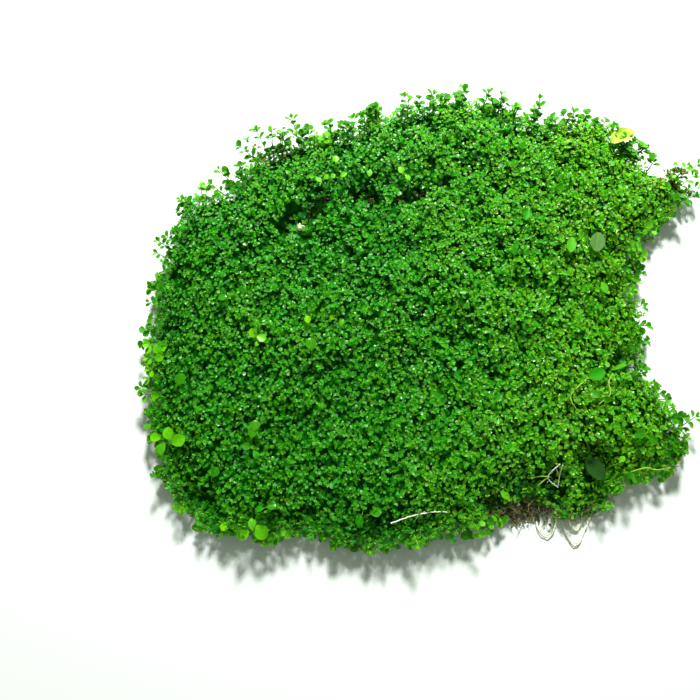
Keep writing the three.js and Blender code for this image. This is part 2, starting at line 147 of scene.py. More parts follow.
# Paler shoots with broad leaves that lie open: middle of each leaf in plan, its rise over the carpet, its
# length and its heading in degrees.
BRIGHT_SHOOTS = {
    "bright_shoot_left": (
        (-130.4, -74.1, 2.8, 7.6, 235), (-126.7, -68.1, 3.2, 6.4, 110), (-122.7, -71.0, 3.0, 7.2, 28),
        (-133.5, -69.4, 1.8, 5.2, 165),
    ),
    "bright_shoot_front": (
        (-89.5, -113.8, 2.0, 6.0, 205), (-85.7, -110.3, 2.4, 6.0, 100), (-81.6, -112.4, 2.8, 7.6, -55),
    ),
    "bright_shoot_back": (
        (-56, 63.3, 2.6, 4.8, 130), (-52.6, 65.2, 2.0, 3.0, 50), (-59.8, 66, 1.8, 3.0, 170),
    ),
    "bright_shoot_tear": (
        (-13, 68.5, 2.4, 4.2, 110), (-10, 65.8, 2.0, 3.6, -40),
    ),
    "bright_shoot_middle": (
        (-88.7, -73.8, 2.4, 4.4, 160), (-84.8, -77.2, 2.4, 5.0, -60), (-86.6, -67.6, 2.0, 5.4, 80),
    ),
    "bright_shoot_centre": (
        (-87, -19.5, 2.2, 5.2, 130), (-83.6, -21.6, 2.4, 5, -20), (-85, -24, 2, 3.6, 240),
    ),
}

# Single broad leaves in the carpet, described in the same way.
LIME_LEAVES = (
    (-44.5, -14, 1.6, 4, 60), (-48.5, -11, 1.4, 3, 150), (-60.6, -12.6, 1.6, 4, 100),
    (-136, -26, 1.5, 5, 120), (-134.5, -30, 1.5, 4.4, 200), (-135, -49, 1.4, 4.6, 170),
    (-47.5, 75, 2.2, 4.2, 95), (-43.7, 66.2, 2, 3.6, 30), (-29.6, 67.6, 2.6, 4.6, -100),
    (89, -80, 1.6, 4.6, 40), (33, -96, 1.8, 5.6, -40), (-118, 62, 2, 4, 80), (-49.1, 65.6, 2, 3, 60),
    (-98.7, -110.4, 1.4, 4.4, 230),
)
GREEN_LEAVES = (
    (-58.9, -25.4, 1.8, 6.4, 95), (-85.5, -64.5, 1.8, 5.6, 80), (-104.2, -0.6, 1.6, 4.6, 20),
    (-122.9, -42, 2, 6.2, 65), (-82, -102.4, 1.6, 4.6, 190), (-77.2, -101.6, 1.6, 4.6, 10),
    (-28.3, -103.9, 2, 5.2, 20), (-35.3, -107.5, 1.6, 4.8, 250), (-104, -86, 1.6, 5, 70),
    (-112, -57, 1.5, 4.4, 120), (31, -51, 1.4, 4.2, 50), (78, -49.5, 2, 4.4, 150),
    (82.3, -51.5, 2, 4.2, -20), (113.5, 88.7, 1.8, 5, 60), (118, 85.5, 1.8, 5, 20),
    (122, 79, 2.4, 5.4, 85), (70, 60, 1.6, 4.4, 200), (43, 24, 1.4, 4.2, 310), (-8, 84, 1.8, 4.4, 70),
    (52, 84, 1.8, 4.6, 120), (16, 2, 1.2, 3.8, 10), (97, -68, 1.8, 5.4, 10), (104.5, -70.5, 1.8, 4.6, -30),
)

# Dead leaves on the carpet: place in plan and length. Small bits lie scattered between them.
DEAD_LEAVES = (
    (-44, 29, 3), (68.7, -45.4, 3), (24, -34, 2.4), (-76.5, 82, 3), (-90, 77, 3), (48, 92, 2.8),
    (36, 96, 2.6), (118, 62, 3), (126, 60, 3), (122, 54, 2.8), (-5, 91, 2.6),
)
DEAD_BITS = 24

# Sprigs that fringe the carpet, by colour: place of the foot, place of the tip, leaf length, leaf pairs.
FRINGE = {
    "green": (
        (-97, 62, 13, -109, 70, 19, 4.6, 3), (-107, 60, 14, -113, 63, 18, 4.4, 2),
        (-117, 51, 13, -116, 60, 18, 5.0, 2), (-124, 50, 13, -129, 54, 17, 4.2, 2),
        (-90, 75, 13, -95, 88, 19, 3.6, 3), (-82, 80, 14, -82, 93, 20, 4.6, 2),
        (-78, 82, 15, -76, 93, 20, 3.8, 2), (-71, 82, 15, -70, 91, 20, 4.6, 2),
        (-32, 92, 15, -32, 101, 19, 3.6, 2), (43, 108, 15, 43, 116, 19, 3.6, 3),
        (93, 92, 13, 99, 101, 17, 3.8, 3), (107, 84, 12, 114, 89, 16, 4.6, 2),
        (109, 80, 12, 118, 84, 16, 5.0, 3), (117, 68, 10, 123, 77, 15, 5.0, 2),
        (137, 62, 6, 148, 66, 10, 4.2, 3), (116, 52, 6, 124, 52, 8, 3.4, 3),
        (113, 42, 6, 125, 45, 7, 3.8, 3), (108, 35, 6, 122, 37, 6, 3.6, 3),
        (103, 28, 7, 114, 30, 9, 3.6, 2), (103, 14, 7, 113, 17, 10, 3.8, 3),
        (102, 9, 7, 111, 12, 9, 3.6, 2), (104, -22, 7, 112, -20, 9, 3.8, 2),
        (98, -27, 8, 107, -27, 11, 3.8, 3), (98, -35, 7, 108, -37, 10, 4.0, 3),
        (102, -40, 6, 113, -43, 8, 4.2, 3), (105, -45, 6, 117, -47, 8, 4.4, 3),
        (107, -49, 6, 119, -50, 8, 4.8, 2), (111, -60, 7, 121, -59, 10, 4.2, 2),
        (114, -72, 4, 126, -73, 6, 4.2, 3), (-131, 28, 12, -139, 31, 18, 3.8, 3),
        (-132, 24, 12, -140, 25, 16, 3.6, 2), (-134, 2, 11, -142, -1, 15, 3.6, 2),
        (-40, -108, 8, -42, -115, 10, 4.0, 2), (-66, -106, 7, -68, -114, 8, 4.0, 2),
    ),
    "lime": (
        (-60, 84, 15, -59, 92, 19, 3.4, 2), (-8, 104, 15, -8, 112, 20, 4.6, 2),
        (62, 98, 15, 61, 108, 19, 3.6, 3), (126, 64, 8, 136, 76, 13, 4.2, 3),
        (132, 65, 8, 142, 76, 13, 4.4, 3), (136, 64, 8, 146, 71, 12, 4.4, 3),
        (128, 61, 8, 133, 69, 13, 4.2, 2), (130, 56, 7, 136, 57, 9, 3.8, 2),
        (132, 58, 5, 141, 62, 8, 3.8, 3), (106, -54, 7, 116, -54, 9, 4.6, 2),
        (115, -66, 5, 126, -69, 7, 4.6, 3), (106, -80, 5, 117, -83, 7, 5.4, 2),
        (-129, -22, 13, -140, -24, 17, 5.2, 2), (-129, -28, 12, -140, -30, 16, 5.0, 2),
        (-130, -34, 12, -139, -36, 16, 4.6, 2), (-131, -39, 11, -140, -40, 15, 4.6, 2),
        (-131, -46, 10, -142, -48, 13, 4.4, 2), (-129, -50, 10, -136, -51, 13, 4.4, 1),
        (-10, -106, 8, -9, -113, 9, 4.2, 2),
    ),
    "brown": (
        (-84, 76, 12, -91, 85, 17, 3.2, 2), (-76, 82, 13, -78, 90, 18, 3.4, 2),
        (78, 96, 14, 79, 103, 18, 3.2, 2), (134, 64, 8, 139, 73, 13, 4.0, 3),
        (123, 60, 8, 127, 67, 13, 3.6, 3), (126, 53, 6, 132, 52, 8, 3.4, 3),
        (135, 60, 7, 143, 63, 9, 3.6, 3), (120, 57, 6, 131, 59, 9, 3.4, 3),
        (124, 62, 8, 132, 73, 12, 3.4, 3),
    ),
}

# Roots: routes of x, y and z in plan, or of x and y on top of the carpet.
ROOT_RADIUS = 0.42
RUNNER_RADIUS = 0.32
GROUND_ROOTS = {
    "root_loop_1": (
        (59, -88, 3), (62, -103, 2), (61, -112, 1), (57, -116, 0.8), (53, -113, 0.8), (52, -107, 1),
    ),
    "root_loop_2": (
        (64, -90, 3), (64, -106, 1.6), (67, -116, 0.9), (71, -120, 0.8), (75, -114, 1), (81, -102, 2),
    ),
    "root_loop_3": ((70, -91, 2), (67, -106, 2), (71, -113, 1.2), (75, -108, 1.4), (80, -97, 2)),
}
TOP_ROOTS = {
    "bare_runner_front": ((-21, -109), (-12, -106), (-2, -104), (7, -104)),
    "bare_root_bent": ((59, -82), (55, -88), (60, -93)),
    "bare_runner_side_1": ((88.5, -38.5), (85.5, -43), (85, -49), (79, -54)),
    "bare_runner_side_2": ((74, -42), (66, -49), (66, -54), (71, -59)),
}
ROOT_OVER_CARPET = {"bare_runner_front": 0.1}
ROOT_OVER_CARPET_ELSEWHERE = 1.8
ROOT_BRANCHES = {"bare_root_bent": (((60.5, -82.5), (60.2, -87), (60, -92.5)),)}

# Young bare stems, lime green, in the same two ways.
LIME_RUNNERS = (
    ((56.5, -88), (51.4, -87.7), (46.2, -88.6)), ((55, -88), (50.4, -92.2)),
    ((90, -86.5, 9), (95, -85.5, 13.5), (102.4, -83.7, 13.8), (108.1, -84.7, 12.8), (120.7, -82.8, 9.5)),
)

# Root tips that curl out of the hole: place, length and number.
ROOT_TIPS_AT = (-66, 40.5, 13.4)
ROOT_TIP_LENGTH = 4.0
ROOT_TIPS = 9

# Old stems and felt that show past the leaves at the front: middle in plan, spread each way, number.
BARE_FRONT = (
    (45, -104.5, 8, 2.6, 300), (31, -104.5, 5, 2.2, 200), (68, -101, 7, 2.8, 240), (83, -99, 4, 2.0, 60),
    (-2, -107, 13, 1.4, 60), (5, -108, 8, 1.6, 120), (-31, -113.5, 8, 1.6, 120),
)

# The photograph's camera, and the floor.
PHOTO_WIDTH = 700
FOCAL_PIXELS = 567
CAMERA_ELEVATION = 78
CAMERA_DISTANCE = 283.5
PHOTO_CENTRE_IN_PLAN = (-40, -26, 15)
SENSOR_WIDTH = 36
FLOOR_SIZE = 6
FLOOR_LEVEL = -0.0002
FLOOR_PAINT = (0.95, 0.95, 0.95, 1)

# The room's light, and the soft window light behind the mat.
ROOM_COLOUR = (0.81, 1.0, 0.77, 1)
ROOM_STRENGTH = 0.260
LIGHT_COLOUR = (0.94, 1.0, 0.955)
LIGHT_SIZE = 0.16
LIGHT_DISTANCE = 0.9
LIGHT_ELEVATION = 44
LIGHT_POWER = 16.6

# Light that passes through a leaf: how far each colour goes, and the scale of it in metres.
GLOW_GREEN = (0.20, 1.0, 0.10)
GLOW_LIME = (0.45, 1.0, 0.10)
GLOW_DEPTH = 0.0012

# Leaves: gloss, share of light let through and its reach, strength of the ribs, then the colours as linear
# light in the order of LEAF_COLOURS. Every leaf's gloss has the same tint.
GLOSS_TINT = (0.70, 1.0, 0.55, 1)
LEAF_COLOURS = ("Young", "Grown", "Old", "Underside", "Vein")
LEAF_FINISHES = {
    "green leaf": (
        0.55, 0.85, GLOW_GREEN, 0.35, (0.14, 0.58, 0.003), (0.008, 0.375, 0.0008), (0.003, 0.30, 0.0008),
        (0.022, 0.36, 0.003), (0.06, 0.50, 0.006),
    ),
    "sprig leaf": (
        0.3, 0.3, GLOW_GREEN, 0.35, (0.085, 0.31, 0.002), (0.035, 0.22, 0.001), (0.014, 0.14, 0.001),
        (0.026, 0.20, 0.003), (0.06, 0.28, 0.005),
    ),
    "lime leaf": (
        0.3, 0.45, GLOW_LIME, 0.35, (0.14, 0.53, 0.003), (0.07, 0.43, 0.002), (0.14, 0.58, 0.003),
        (0.08, 0.42, 0.01), (0.24, 0.62, 0.02),
    ),
    "withered leaf": (
        0.2, 0.3, GLOW_GREEN, 0.35, (0.13, 0.15, 0.015), (0.09, 0.075, 0.01), (0.05, 0.035, 0.008),
        (0.06, 0.045, 0.012), (0.10, 0.08, 0.02),
    ),
    "dead leaf": (
        0.2, 0.1, GLOW_GREEN, 0.35, (0.07, 0.06, 0.008), (0.035, 0.024, 0.005), (0.015, 0.009, 0.003),
        (0.04, 0.028, 0.008), (0.07, 0.05, 0.012),
    ),
    "felt bit": (
        0.15, 0.1, GLOW_GREEN, 0.35, (0.14, 0.15, 0.05), (0.095, 0.092, 0.035), (0.055, 0.052, 0.02),
        (0.075, 0.07, 0.03), (0.16, 0.15, 0.06),
    ),
    # Rotted leaves in the tear, their colours darkened further as painted shade of the tear.
    "rotted leaf in painted shade": (
        0.2, 0.1, GLOW_GREEN, 0.35, (0.022, 0.03, 0.005), (0.014, 0.012, 0.004), (0.008, 0.006, 0.003),
        (0.016, 0.012, 0.005), (0.035, 0.026, 0.008),
    ),
    "grey leaf": (
        0.25, 0.3, GLOW_GREEN, 1.0, (0.06, 0.19, 0.022), (0.042, 0.15, 0.016), (0.03, 0.12, 0.01),
        (0.10, 0.22, 0.05), (0.26, 0.48, 0.13),
    ),
    # A dark green leaf, its colours darkened further as painted shade of the hollow it lies in.
    "dark leaf in painted shade": (
        0.15, 0.3, GLOW_GREEN, 0.35, (0.005, 0.042, 0.003), (0.003, 0.032, 0.002), (0.002, 0.022, 0.002),
        (0.02, 0.08, 0.01), (0.011, 0.065, 0.005),
    ),
    "yellow leaf": (
        0.3, 0.3, GLOW_LIME, 0.35, (0.48, 0.74, 0.09), (0.38, 0.66, 0.04), (0.28, 0.58, 0.02),
        (0.50, 0.70, 0.08), (0.66, 0.84, 0.20),
    ),
    "broad green leaf": (
        0.35, 0.4, GLOW_GREEN, 0.7, (0.03, 0.23, 0.002), (0.014, 0.16, 0.001), (0.008, 0.12, 0.001),
        (0.022, 0.36, 0.003), (0.07, 0.36, 0.01),
    ),
}

# Rough skins: two colours, how finely they drift, roughness, relief, and where one or more differs from the
# rest, the relief's depth in metres, the middle of the drift, and gloss.
ROUGH_SKINS = {
    "green stem": ((0.012, 0.10, 0.003), (0.02, 0.24, 0.003), 160, 0.45, 0.3),
    "red stem": ((0.14, 0.02, 0.008), (0.26, 0.10, 0.03), 220, 0.45, 0.3),
    "lime stem": ((0.08, 0.30, 0.01), (0.20, 0.48, 0.03), 220, 0.45, 0.3),
    "pale stem": ((0.22, 0.42, 0.03), (0.44, 0.60, 0.10), 220, 0.45, 0.3),
    # Rotted stems in the tear, their colours darkened further as painted shade of the tear.
    "rotted stem in painted shade": ((0.005, 0.005, 0.003), (0.03, 0.022, 0.008), 220, 0.6, 0.4),
    "root": ((0.74, 0.68, 0.40), (0.93, 0.93, 0.80), 260, 0.5, 0.35, 0.0001, 0.55),
    "tan root": ((0.13, 0.085, 0.035), (0.32, 0.24, 0.11), 200, 0.7, 0.4, 0.0001),
    # The thatch is old shoots, but its colours are lifted to a saturated mid green: painted light, standing
    # in for the green light that comes through the leaves into the gaps.
    "thatch": ((0.0015, 0.058, 0.0007), (0.003, 0.135, 0.001), 330, 0.6, 1.0, 0.001, 0.70, 0.05),
    "root felt": ((0.012, 0.022, 0.002), (0.13, 0.085, 0.035), 120, 0.9, 1.0, 0.001),
}
SPRIG_SKINS = {
    "green": ("sprig leaf", "green stem"), "lime": ("lime leaf", "lime stem"),
    "brown": ("withered leaf", "red stem"),
}

# Outlines of leaves: stations along a leaf a unit long, each with its place and the leaf's width there.
PLAIN = ((0, 0), (0.24, 0.60), (0.56, 0.88), (0.87, 0.60), (1, 0))
NARROW = ((0, 0), (0.26, 0.50), (0.58, 0.76), (0.86, 0.50), (1, 0))
WIDE = ((0, 0), (0.22, 0.64), (0.54, 0.92), (0.87, 0.66), (1, 0))
BLUNT = ((0, 0), (0.35, 0.80), (0.78, 0.76), (1, 0))
OVAL = ((0, 0.08), (0.16, 0.26), (0.40, 0.72), (0.66, 0.80), (0.90, 0.46), (1, 0))
ROUND = ((0, 0.08), (0.12, 0.46), (0.34, 1.0), (0.62, 1.12), (0.88, 0.78), (1, 0.2))
BROAD = (
    (0, 0.05), (0.03, 0.26), (0.12, 0.62), (0.28, 0.90), (0.48, 1.0), (0.68, 0.93), (0.84, 0.70),
    (0.95, 0.40), (1, 0),
)


# Frame and fields

rng = np.random.default_rng(SEED)

SIDES = ((1, 0), (-1, 0), (0, 1), (0, -1))
AROUND = [(a, b) for a in (-1, 0, 1) for b in (-1, 0, 1)]


def plan_shift():
    """Where the frame puts the plan's own origin, found from a small loose leaf."""
    x, y, *_ = LOOSE_LEAVES["oval_leaf_right"]
    low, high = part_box("oval_leaf_right")
    return np.array([(low[0] + high[0]) / 2 / MM - x, (low[1] + high[1]) / 2 / MM - y, 0])


def moved(field, steps):
    """Copies of a field, each moved by one of the steps."""
    return [np.roll(field, step, axis=(0, 1)) for step in steps]


def unit(vectors):
    return vectors / np.maximum(np.linalg.norm(vectors, axis=-1, keepdims=True), 1e-9)


def raised(seats, level):
    """Points in plan, put at their levels."""
    return np.column_stack([seats, np.broadcast_to(level, len(seats))])


def toward(heading, rise=0.0):
    """The way of a heading in plan, in radians, with its rise."""
    return np.stack(np.broadcast_arrays(np.cos(heading), np.sin(heading), rise), -1)


class Plan:
    """The carpet seen from above, as fields on a square grid: its height, its rim and the way out of it."""

    STEP = 2.0
    MARGIN = 26

    def __init__(self, name):
        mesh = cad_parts[name].data
        mesh.calc_loop_triangles()
        points = np.array([v.co[:] for v in mesh.vertices]) / MM
        faces = [tuple(t.vertices) for t in mesh.loop_triangles]
        tree = BVHTree.FromPolygons([Vector(p) for p in points], faces)
        self.low = points.min(0)[:2] - self.MARGIN
        size = np.ceil((points.max(0)[:2] + self.MARGIN - self.low) / self.STEP).astype(int) + 1
        heights = np.full(size, np.nan)
        for i, j in np.ndindex(*size):
            x, y = self.low + self.STEP * np.array([i, j])
            hit = tree.ray_cast(Vector((x, y, 100)), Vector((0, 0, -1)))[0]
            if hit:
                heights[i, j] = hit.z
        self.inside = ~np.isnan(heights)
        self.top = self.smooth_top(np.where(self.inside, heights, 0))
        self.rim = self.signed_distance()
        self.out_x, self.out_y = [-g for g in np.gradient(self.blurred(self.rim, 3), self.STEP)]
        self.fall_x, self.fall_y = [-g for g in np.gradient(self.top, self.STEP)]
        self.clumps = self.cloud(9)
        self.drift = self.cloud(110)

    def blurred(self, field, times):
        """Each point evened out with the four beside it."""
        for _ in range(times):
            field = (2 * field + sum(moved(field, SIDES))) / 6
        return field

    def cloud(self, times):
        """Smooth random field with a mean of 0 and a spread of 1."""
        field = self.blurred(rng.normal(0, 1, self.inside.shape), times)
        return (field - field.mean()) / field.std()

    def smooth_top(self, heights):
        """The level of the tuft tips: the highest point near by, evened out, and carried past the rim."""
        high = heights
        for _ in range(2):
            high = np.max(moved(high, AROUND), axis=0)
        high = np.where(self.inside, np.minimum(high, heights + 5), high)
        for _ in range(6):
            high = np.where(self.inside, high, np.max(moved(high, AROUND), axis=0))
        return self.blurred(high, 4)

    def signed_distance(self):
        """Distance to the rim, positive inside."""
        edge = self.inside & ~np.logical_and.reduce(moved(self.inside, SIDES))
        rim = np.argwhere(edge) * self.STEP
        every = np.argwhere(np.ones_like(self.inside)) * self.STEP
        parts = np.array_split(every, len(every) // 2000 + 1)
        distance = [np.sqrt(((part[:, None] - rim[None]) ** 2).sum(2)).min(1) for part in parts]
        distance = np.concatenate(distance).reshape(self.inside.shape)
        return np.where(self.inside, distance, -distance) + self.STEP / 2

    def at(self, field, x, y):
        """The field's value at each point, blended from the four grid points round it."""
        i = np.clip((np.asarray(x) - self.low[0]) / self.STEP, 0, field.shape[0] - 1.001)
        j = np.clip((np.asarray(y) - self.low[1]) / self.STEP, 0, field.shape[1] - 1.001)
        a, b = i.astype(int), j.astype(int)
        u, v = i - a, j - b
        return ((1 - u) * (1 - v) * field[a, b] + u * (1 - v) * field[a + 1, b]
                + (1 - u) * v * field[a, b + 1] + u * v * field[a + 1, b + 1])

    def height(self, x, y):
        return self.at(self.top, x, y)

    def inset(self, x, y):
        """How far inside the rim each point lies."""
        return self.at(self.rim, x, y)

    def outward(self, x, y):
        out = [self.at(self.out_x, x, y), self.at(self.out_y, x, y), np.zeros(np.shape(x))]
        return unit(np.stack(out, -1))

    def places(self, wanted):
        """The grid's points in plan where the wanted field is true."""
        return np.argwhere(wanted) * self.STEP + self.low


shift = plan_shift()
plan = Plan("leaf_carpet")
tear_line = np.array(TEAR_LINE)[:, :2] + shift[:2]
leaf_levels = {node: (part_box(node)[0][2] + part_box(node)[1][2]) / 2 / MM for node in LOOSE_LEAVES}


def from_tear(x, y):
    """Distance of each point from the line of the tear, as a share of the tear's half width there."""
    widths = np.array(TEAR_LINE)[:, 2]
    here = np.stack([x, y], -1)
    best = np.full(len(here), np.inf)
    for a, b, wide, next_wide in zip(tear_line[:-1], tear_line[1:], widths[:-1], widths[1:]):
        t = np.clip(((here - a) @ (b - a)) / ((b - a) @ (b - a)), 0, 1)[:, None]
        away = np.linalg.norm(here - a - t * (b - a), axis=1)
        best = np.minimum(best, away / (wide + (next_wide - wide) * t[:, 0]))
    return best


def room_for_leaves(x, y):
    """How high shoots may stand at each point, so that they press down under the loose leaves."""
    room = np.full(len(x), np.inf)
    for node, (middle_x, middle_y, length, ratio, heading) in LOOSE_LEAVES.items():
        here = np.stack([x - middle_x, y - middle_y], -1) - shift[:2]
        along, across = [here @ toward(math.radians(turn))[:2] for turn in (heading, heading + 90)]
        reach = np.hypot(along / (length / 2 + 1), across / (length * ratio / 2 + 1))
        near = reach < 2
        room[near] = np.minimum(room[near], leaf_levels[node] - 2 + 6 * np.maximum(reach[near] - 1, 0))
    return room


def to_the_right(x):
    """0 on the left of the plan, 1 on the right, where the leaves are larger and younger."""
    return np.clip((x - shift[0] - GROWTH_FROM_X) / (GROWTH_TO_X - GROWTH_FROM_X), 0, 1)


def from_thin_places(x, y):
    """For each thin place, the distance of each point from its middle as a share of its radius."""
    for middle_x, middle_y, radius, share, depth in THIN_PLACES:
        yield np.hypot(x - middle_x - shift[0], y - middle_y - shift[1]) / radius, share, depth


def thinned(x, y, luck):
    """Whether a shoot is left out of a thin place."""
    return np.any([(away < 1) & (luck < share) for away, share, _ in from_thin_places(x, y)], axis=0)


def sunk(x, y):
    """How far the carpet sinks at each point of its thin places."""
    return np.max([depth * np.clip(1.6 - away, 0, 1) for away, _, depth in from_thin_places(x, y)], axis=0)


def surface(x, y):
    """The level of the leaf tips: clumps stand up, gaps between them and thin places sink."""
    clumps = plan.at(plan.clumps, x, y)
    gap = np.clip((SMALL_GAP - clumps) / 0.3, 0, 1)
    return plan.height(x, y) + HUMMOCKS * clumps.clip(-2, 1.2) - GAP_DEPTH * gap - sunk(x, y)


def hole_axis():
    lean, turn = np.radians(HOLE_LEAN)
    return np.array([math.cos(lean) * math.sin(turn), -math.sin(lean), math.cos(lean) * math.cos(turn)])


def from_hole(points):
    """Distance of each point from the middle line of the hole."""
    return np.linalg.norm(np.cross(points - np.array(HOLE_AT) - shift, hole_axis()), axis=1)


# Forms that repeat

Form = namedtuple("Form", "points faces blade under corners")


def deselect():
    bpy.ops.object.select_all(action="DESELECT")


def only(piece):
    deselect()
    piece.select_set(True)
    bpy.context.view_layer.objects.active = piece


def pick(piece, wanted):
    """Selects the points of the piece in edit mode for which wanted(point) is true."""
    edit = bmesh.from_edit_mesh(piece.data)
    edit.verts.ensure_lookup_table()
    for v in edit.verts:
        v.select = bool(wanted(v))
    edit.select_flush_mode()
    bmesh.update_edit_mesh(piece.data)


def taken_out(piece):
    """Takes a modelled piece out of the scene and keeps its points and triangles."""
    mesh = piece.data
    mesh.calc_loop_triangles()
    points = np.array([v.co[:] for v in mesh.vertices])
    faces = np.array([t.vertices[:] for t in mesh.loop_triangles])
    bpy.data.objects.remove(piece)
    return points, faces


def model_leaf(outline, fold, droop, belly, rows=2, rounding=0):
    """One leaf a unit long along +X, with a folded upper side and a bowed underside, closed all round.

    The outline is a row of stations along the leaf, each with its place and the leaf's width there.
    """
    last = len(outline) - 1
    deselect()
    bpy.ops.mesh.primitive_grid_add(x_subdivisions=last, y_subdivisions=rows, size=1, location=(0.5, 0, 0))
    leaf = bpy.context.object
    bpy.ops.object.transform_apply()
    column = {v.index: round(v.co.x * last) for v in leaf.data.vertices}
    rims = {v.index: abs(v.co.y) * 2 for v in leaf.data.vertices}
    bpy.ops.object.mode_set(mode="EDIT")
    for level in sorted(set(round(r, 3) for r in rims.values()) - {0.0}):
        pick(leaf, lambda v: abs(rims[v.index] - level) < 0.01)
        bpy.ops.transform.translate(value=(0, 0, fold * level ** 1.3))
    for k, (station, width) in enumerate(outline):
        pick(leaf, lambda v: column[v.index] == k)
        bpy.ops.transform.resize(value=(1, width, min(1, width * 2)), center_override=(k / last, 0, 0))
        bpy.ops.transform.translate(value=(station - k / last, 0, -droop * station ** 2))
    bpy.ops.mesh.select_all(action="SELECT")
    bpy.ops.mesh.remove_doubles(threshold=0.002)
    bpy.ops.mesh.select_mode(type="EDGE")
    bpy.ops.mesh.select_all(action="DESELECT")
    bpy.ops.mesh.select_non_manifold()
    bpy.ops.mesh.edge_face_add()
    count = len(bmesh.from_edit_mesh(leaf.data).verts)
    bpy.ops.mesh.poke()
    bpy.ops.mesh.select_mode(type="VERT")
    pick(leaf, lambda v: v.index >= count)
    bpy.ops.transform.translate(value=(0, 0, -fold - belly))
    bpy.ops.mesh.select_all(action="SELECT")
    bpy.ops.mesh.normals_make_consistent(inside=False)
    bpy.ops.object.mode_set(mode="OBJECT")
    if rounding:
        modifier = leaf.modifiers.new("rounding", "SUBSURF")
        modifier.levels = modifier.render_levels = rounding
        only(leaf)
        bpy.ops.object.modifier_apply(modifier="rounding")
    points, faces = taken_out(leaf)
    # The upper side is mapped to the left half of the leaf's square, the underside to the right half.
    blade = np.stack([points[:, 0], points[:, 1] / np.abs(points[:, 1]).max()], 1)
    a, b, c = points[faces[:, 0]], points[faces[:, 1]], points[faces[:, 2]]
    under = (np.cross(b - a, c - a)[:, 2] < 0).astype(float)
    corners = blade[faces] * [0.42, 0.46] + np.stack([0.04 + 0.5 * under, 0.5 + 0 * under], 1)[:, None]
    return Form(points, faces, blade, under, corners)


def model_stem(segments, sides):
    """A unit stem along +Z from 0 to 1, a unit in radius."""
    deselect()
    bpy.ops.mesh.primitive_cylinder_add(vertices=sides, radius=1, depth=1, location=(0, 0, 0.5))
    stem = bpy.context.object
    bpy.ops.object.transform_apply()
    bpy.ops.object.mode_set(mode="EDIT")
    for k in range(1, segments):
        bpy.ops.mesh.select_all(action="SELECT")
        bpy.ops.mesh.bisect(plane_co=(0, 0, k / segments), plane_no=(0, 0, 1))
    bpy.ops.object.mode_set(mode="OBJECT")
    points, faces = taken_out(stem)
    # The stem's side is unrolled over the square, and its two ends lie above it.
    around = np.rint(np.arctan2(points[:, 1], points[:, 0]) / math.tau * sides + 0.25) % sides
    turn = around[faces]
    turn = turn + sides * ((np.ptp(turn, axis=1) > sides / 2)[:, None] & (turn < sides / 2))
    corners = np.stack([0.03 + 0.94 * points[faces][:, :, 2], 0.02 + 0.8 * turn / sides], 2)
    cap = np.ptp(points[faces][:, :, 2], axis=1) < 0.01
    ends = np.stack([0.1 + 0.05 * points[faces][:, :, 0] + 0.6 * points[faces][:, :, 2],
                     0.92 + 0.05 * points[faces][:, :, 1]], 2)
    corners[cap] = ends[cap]
    blade = np.stack([points[:, 2], points[:, 0]], 1)
    return Form(points, faces, blade, np.zeros(len(faces)), corners)


class Heap:
    """Copies of small forms that become one joined mesh, with what each copy carries."""

    def __init__(self):
        self.points, self.faces, self.values, self.sides, self.places, self.numbers = [], [], [], [], [], []
        self.count = 0
        self.copies = 0

    def add(self, form, points, age, tone, stem=False):
        """points holds copies by points of the form by 3; age and tone are for all copies or for each."""
        copies, size = points.shape[:2]
        # Points close to the floor or under it are pressed together just over it.
        z = points[:, :, 2]
        points[:, :, 2] = np.where(z < 1, 0.1 + 0.9 * np.exp((np.minimum(z, 1) - 1) / 0.9), z)
        starts = self.count + size * np.arange(copies)
        self.points.append(points.reshape(-1, 3))
        self.faces.append((form.faces[None] + starts[:, None, None]).reshape(-1, 3))
        each = [np.repeat(np.broadcast_to(value, copies), size) for value in (age, tone, float(stem))]
        self.values.append(np.column_stack([*each, np.tile(form.blade, (copies, 1))]))
        self.sides.append(np.tile(form.under, copies))
        self.places.append(np.tile(form.corners, (copies, 1, 1)))
        self.numbers.append(np.repeat(self.copies + np.arange(copies), len(form.faces)))
        self.count += copies * size
        self.copies += copies

    def piece(self, name, finishes, node="leaf_carpet", slot="carpet", sharp=48):
        """Joins the copies to a piece in one or two finishes, the second for its stems."""
        mesh = bpy.data.meshes.new(name)
        points = np.concatenate(self.points) * MM
        faces = np.concatenate(self.faces).astype(np.int32)
        mesh.vertices.add(len(points))
        mesh.vertices.foreach_set("co", points.astype(np.float32).ravel())
        mesh.loops.add(faces.size)
        mesh.loops.foreach_set("vertex_index", faces.ravel())
        mesh.polygons.add(len(faces))
        mesh.polygons.foreach_set("loop_start", np.arange(0, faces.size, 3, dtype=np.int32))
        values = np.concatenate(self.values).astype(np.float32)
        for column, label in ((0, "age"), (1, "tone"), (3, "along"), (4, "across")):
            mesh.attributes.new(label, "FLOAT", "POINT").data.foreach_set("value", values[:, column].copy())
        sides = np.concatenate(self.sides).astype(np.float32)
        mesh.attributes.new("underside", "FLOAT", "FACE").data.foreach_set("value", sides)
        if len(finishes) > 1:
            mesh.polygons.foreach_set("material_index", values[faces[:, 0], 2].astype(np.int32))
        mesh.update(calc_edges=True)
        mesh.polygons.foreach_set("use_smooth", np.ones(len(faces), bool))
        mesh.set_sharp_from_angle(angle=math.radians(sharp))
        # Every leaf has a square of its own in the map.
        across = math.ceil(math.sqrt(self.copies))
        number = np.concatenate(self.numbers)
        corner = np.stack([number % across, number // across], 1)[:, None]
        layer = mesh.uv_layers.new(name="OFBake", do_init=False)
        place = (np.concatenate(self.places) + corner) / across
        layer.uv.foreach_set("vector", place.astype(np.float32).ravel())
        for finish in finishes:
            mesh.materials.append(skins[finish])
        piece = bpy.data.objects.new(name, mesh)
        bpy.context.collection.objects.link(piece)
        settle(piece, [node])


def settle(piece, nodes):
    """Gives a piece its place in the frame: the nodes it stands for and its body."""
    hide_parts(*nodes)
    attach(piece, "root")


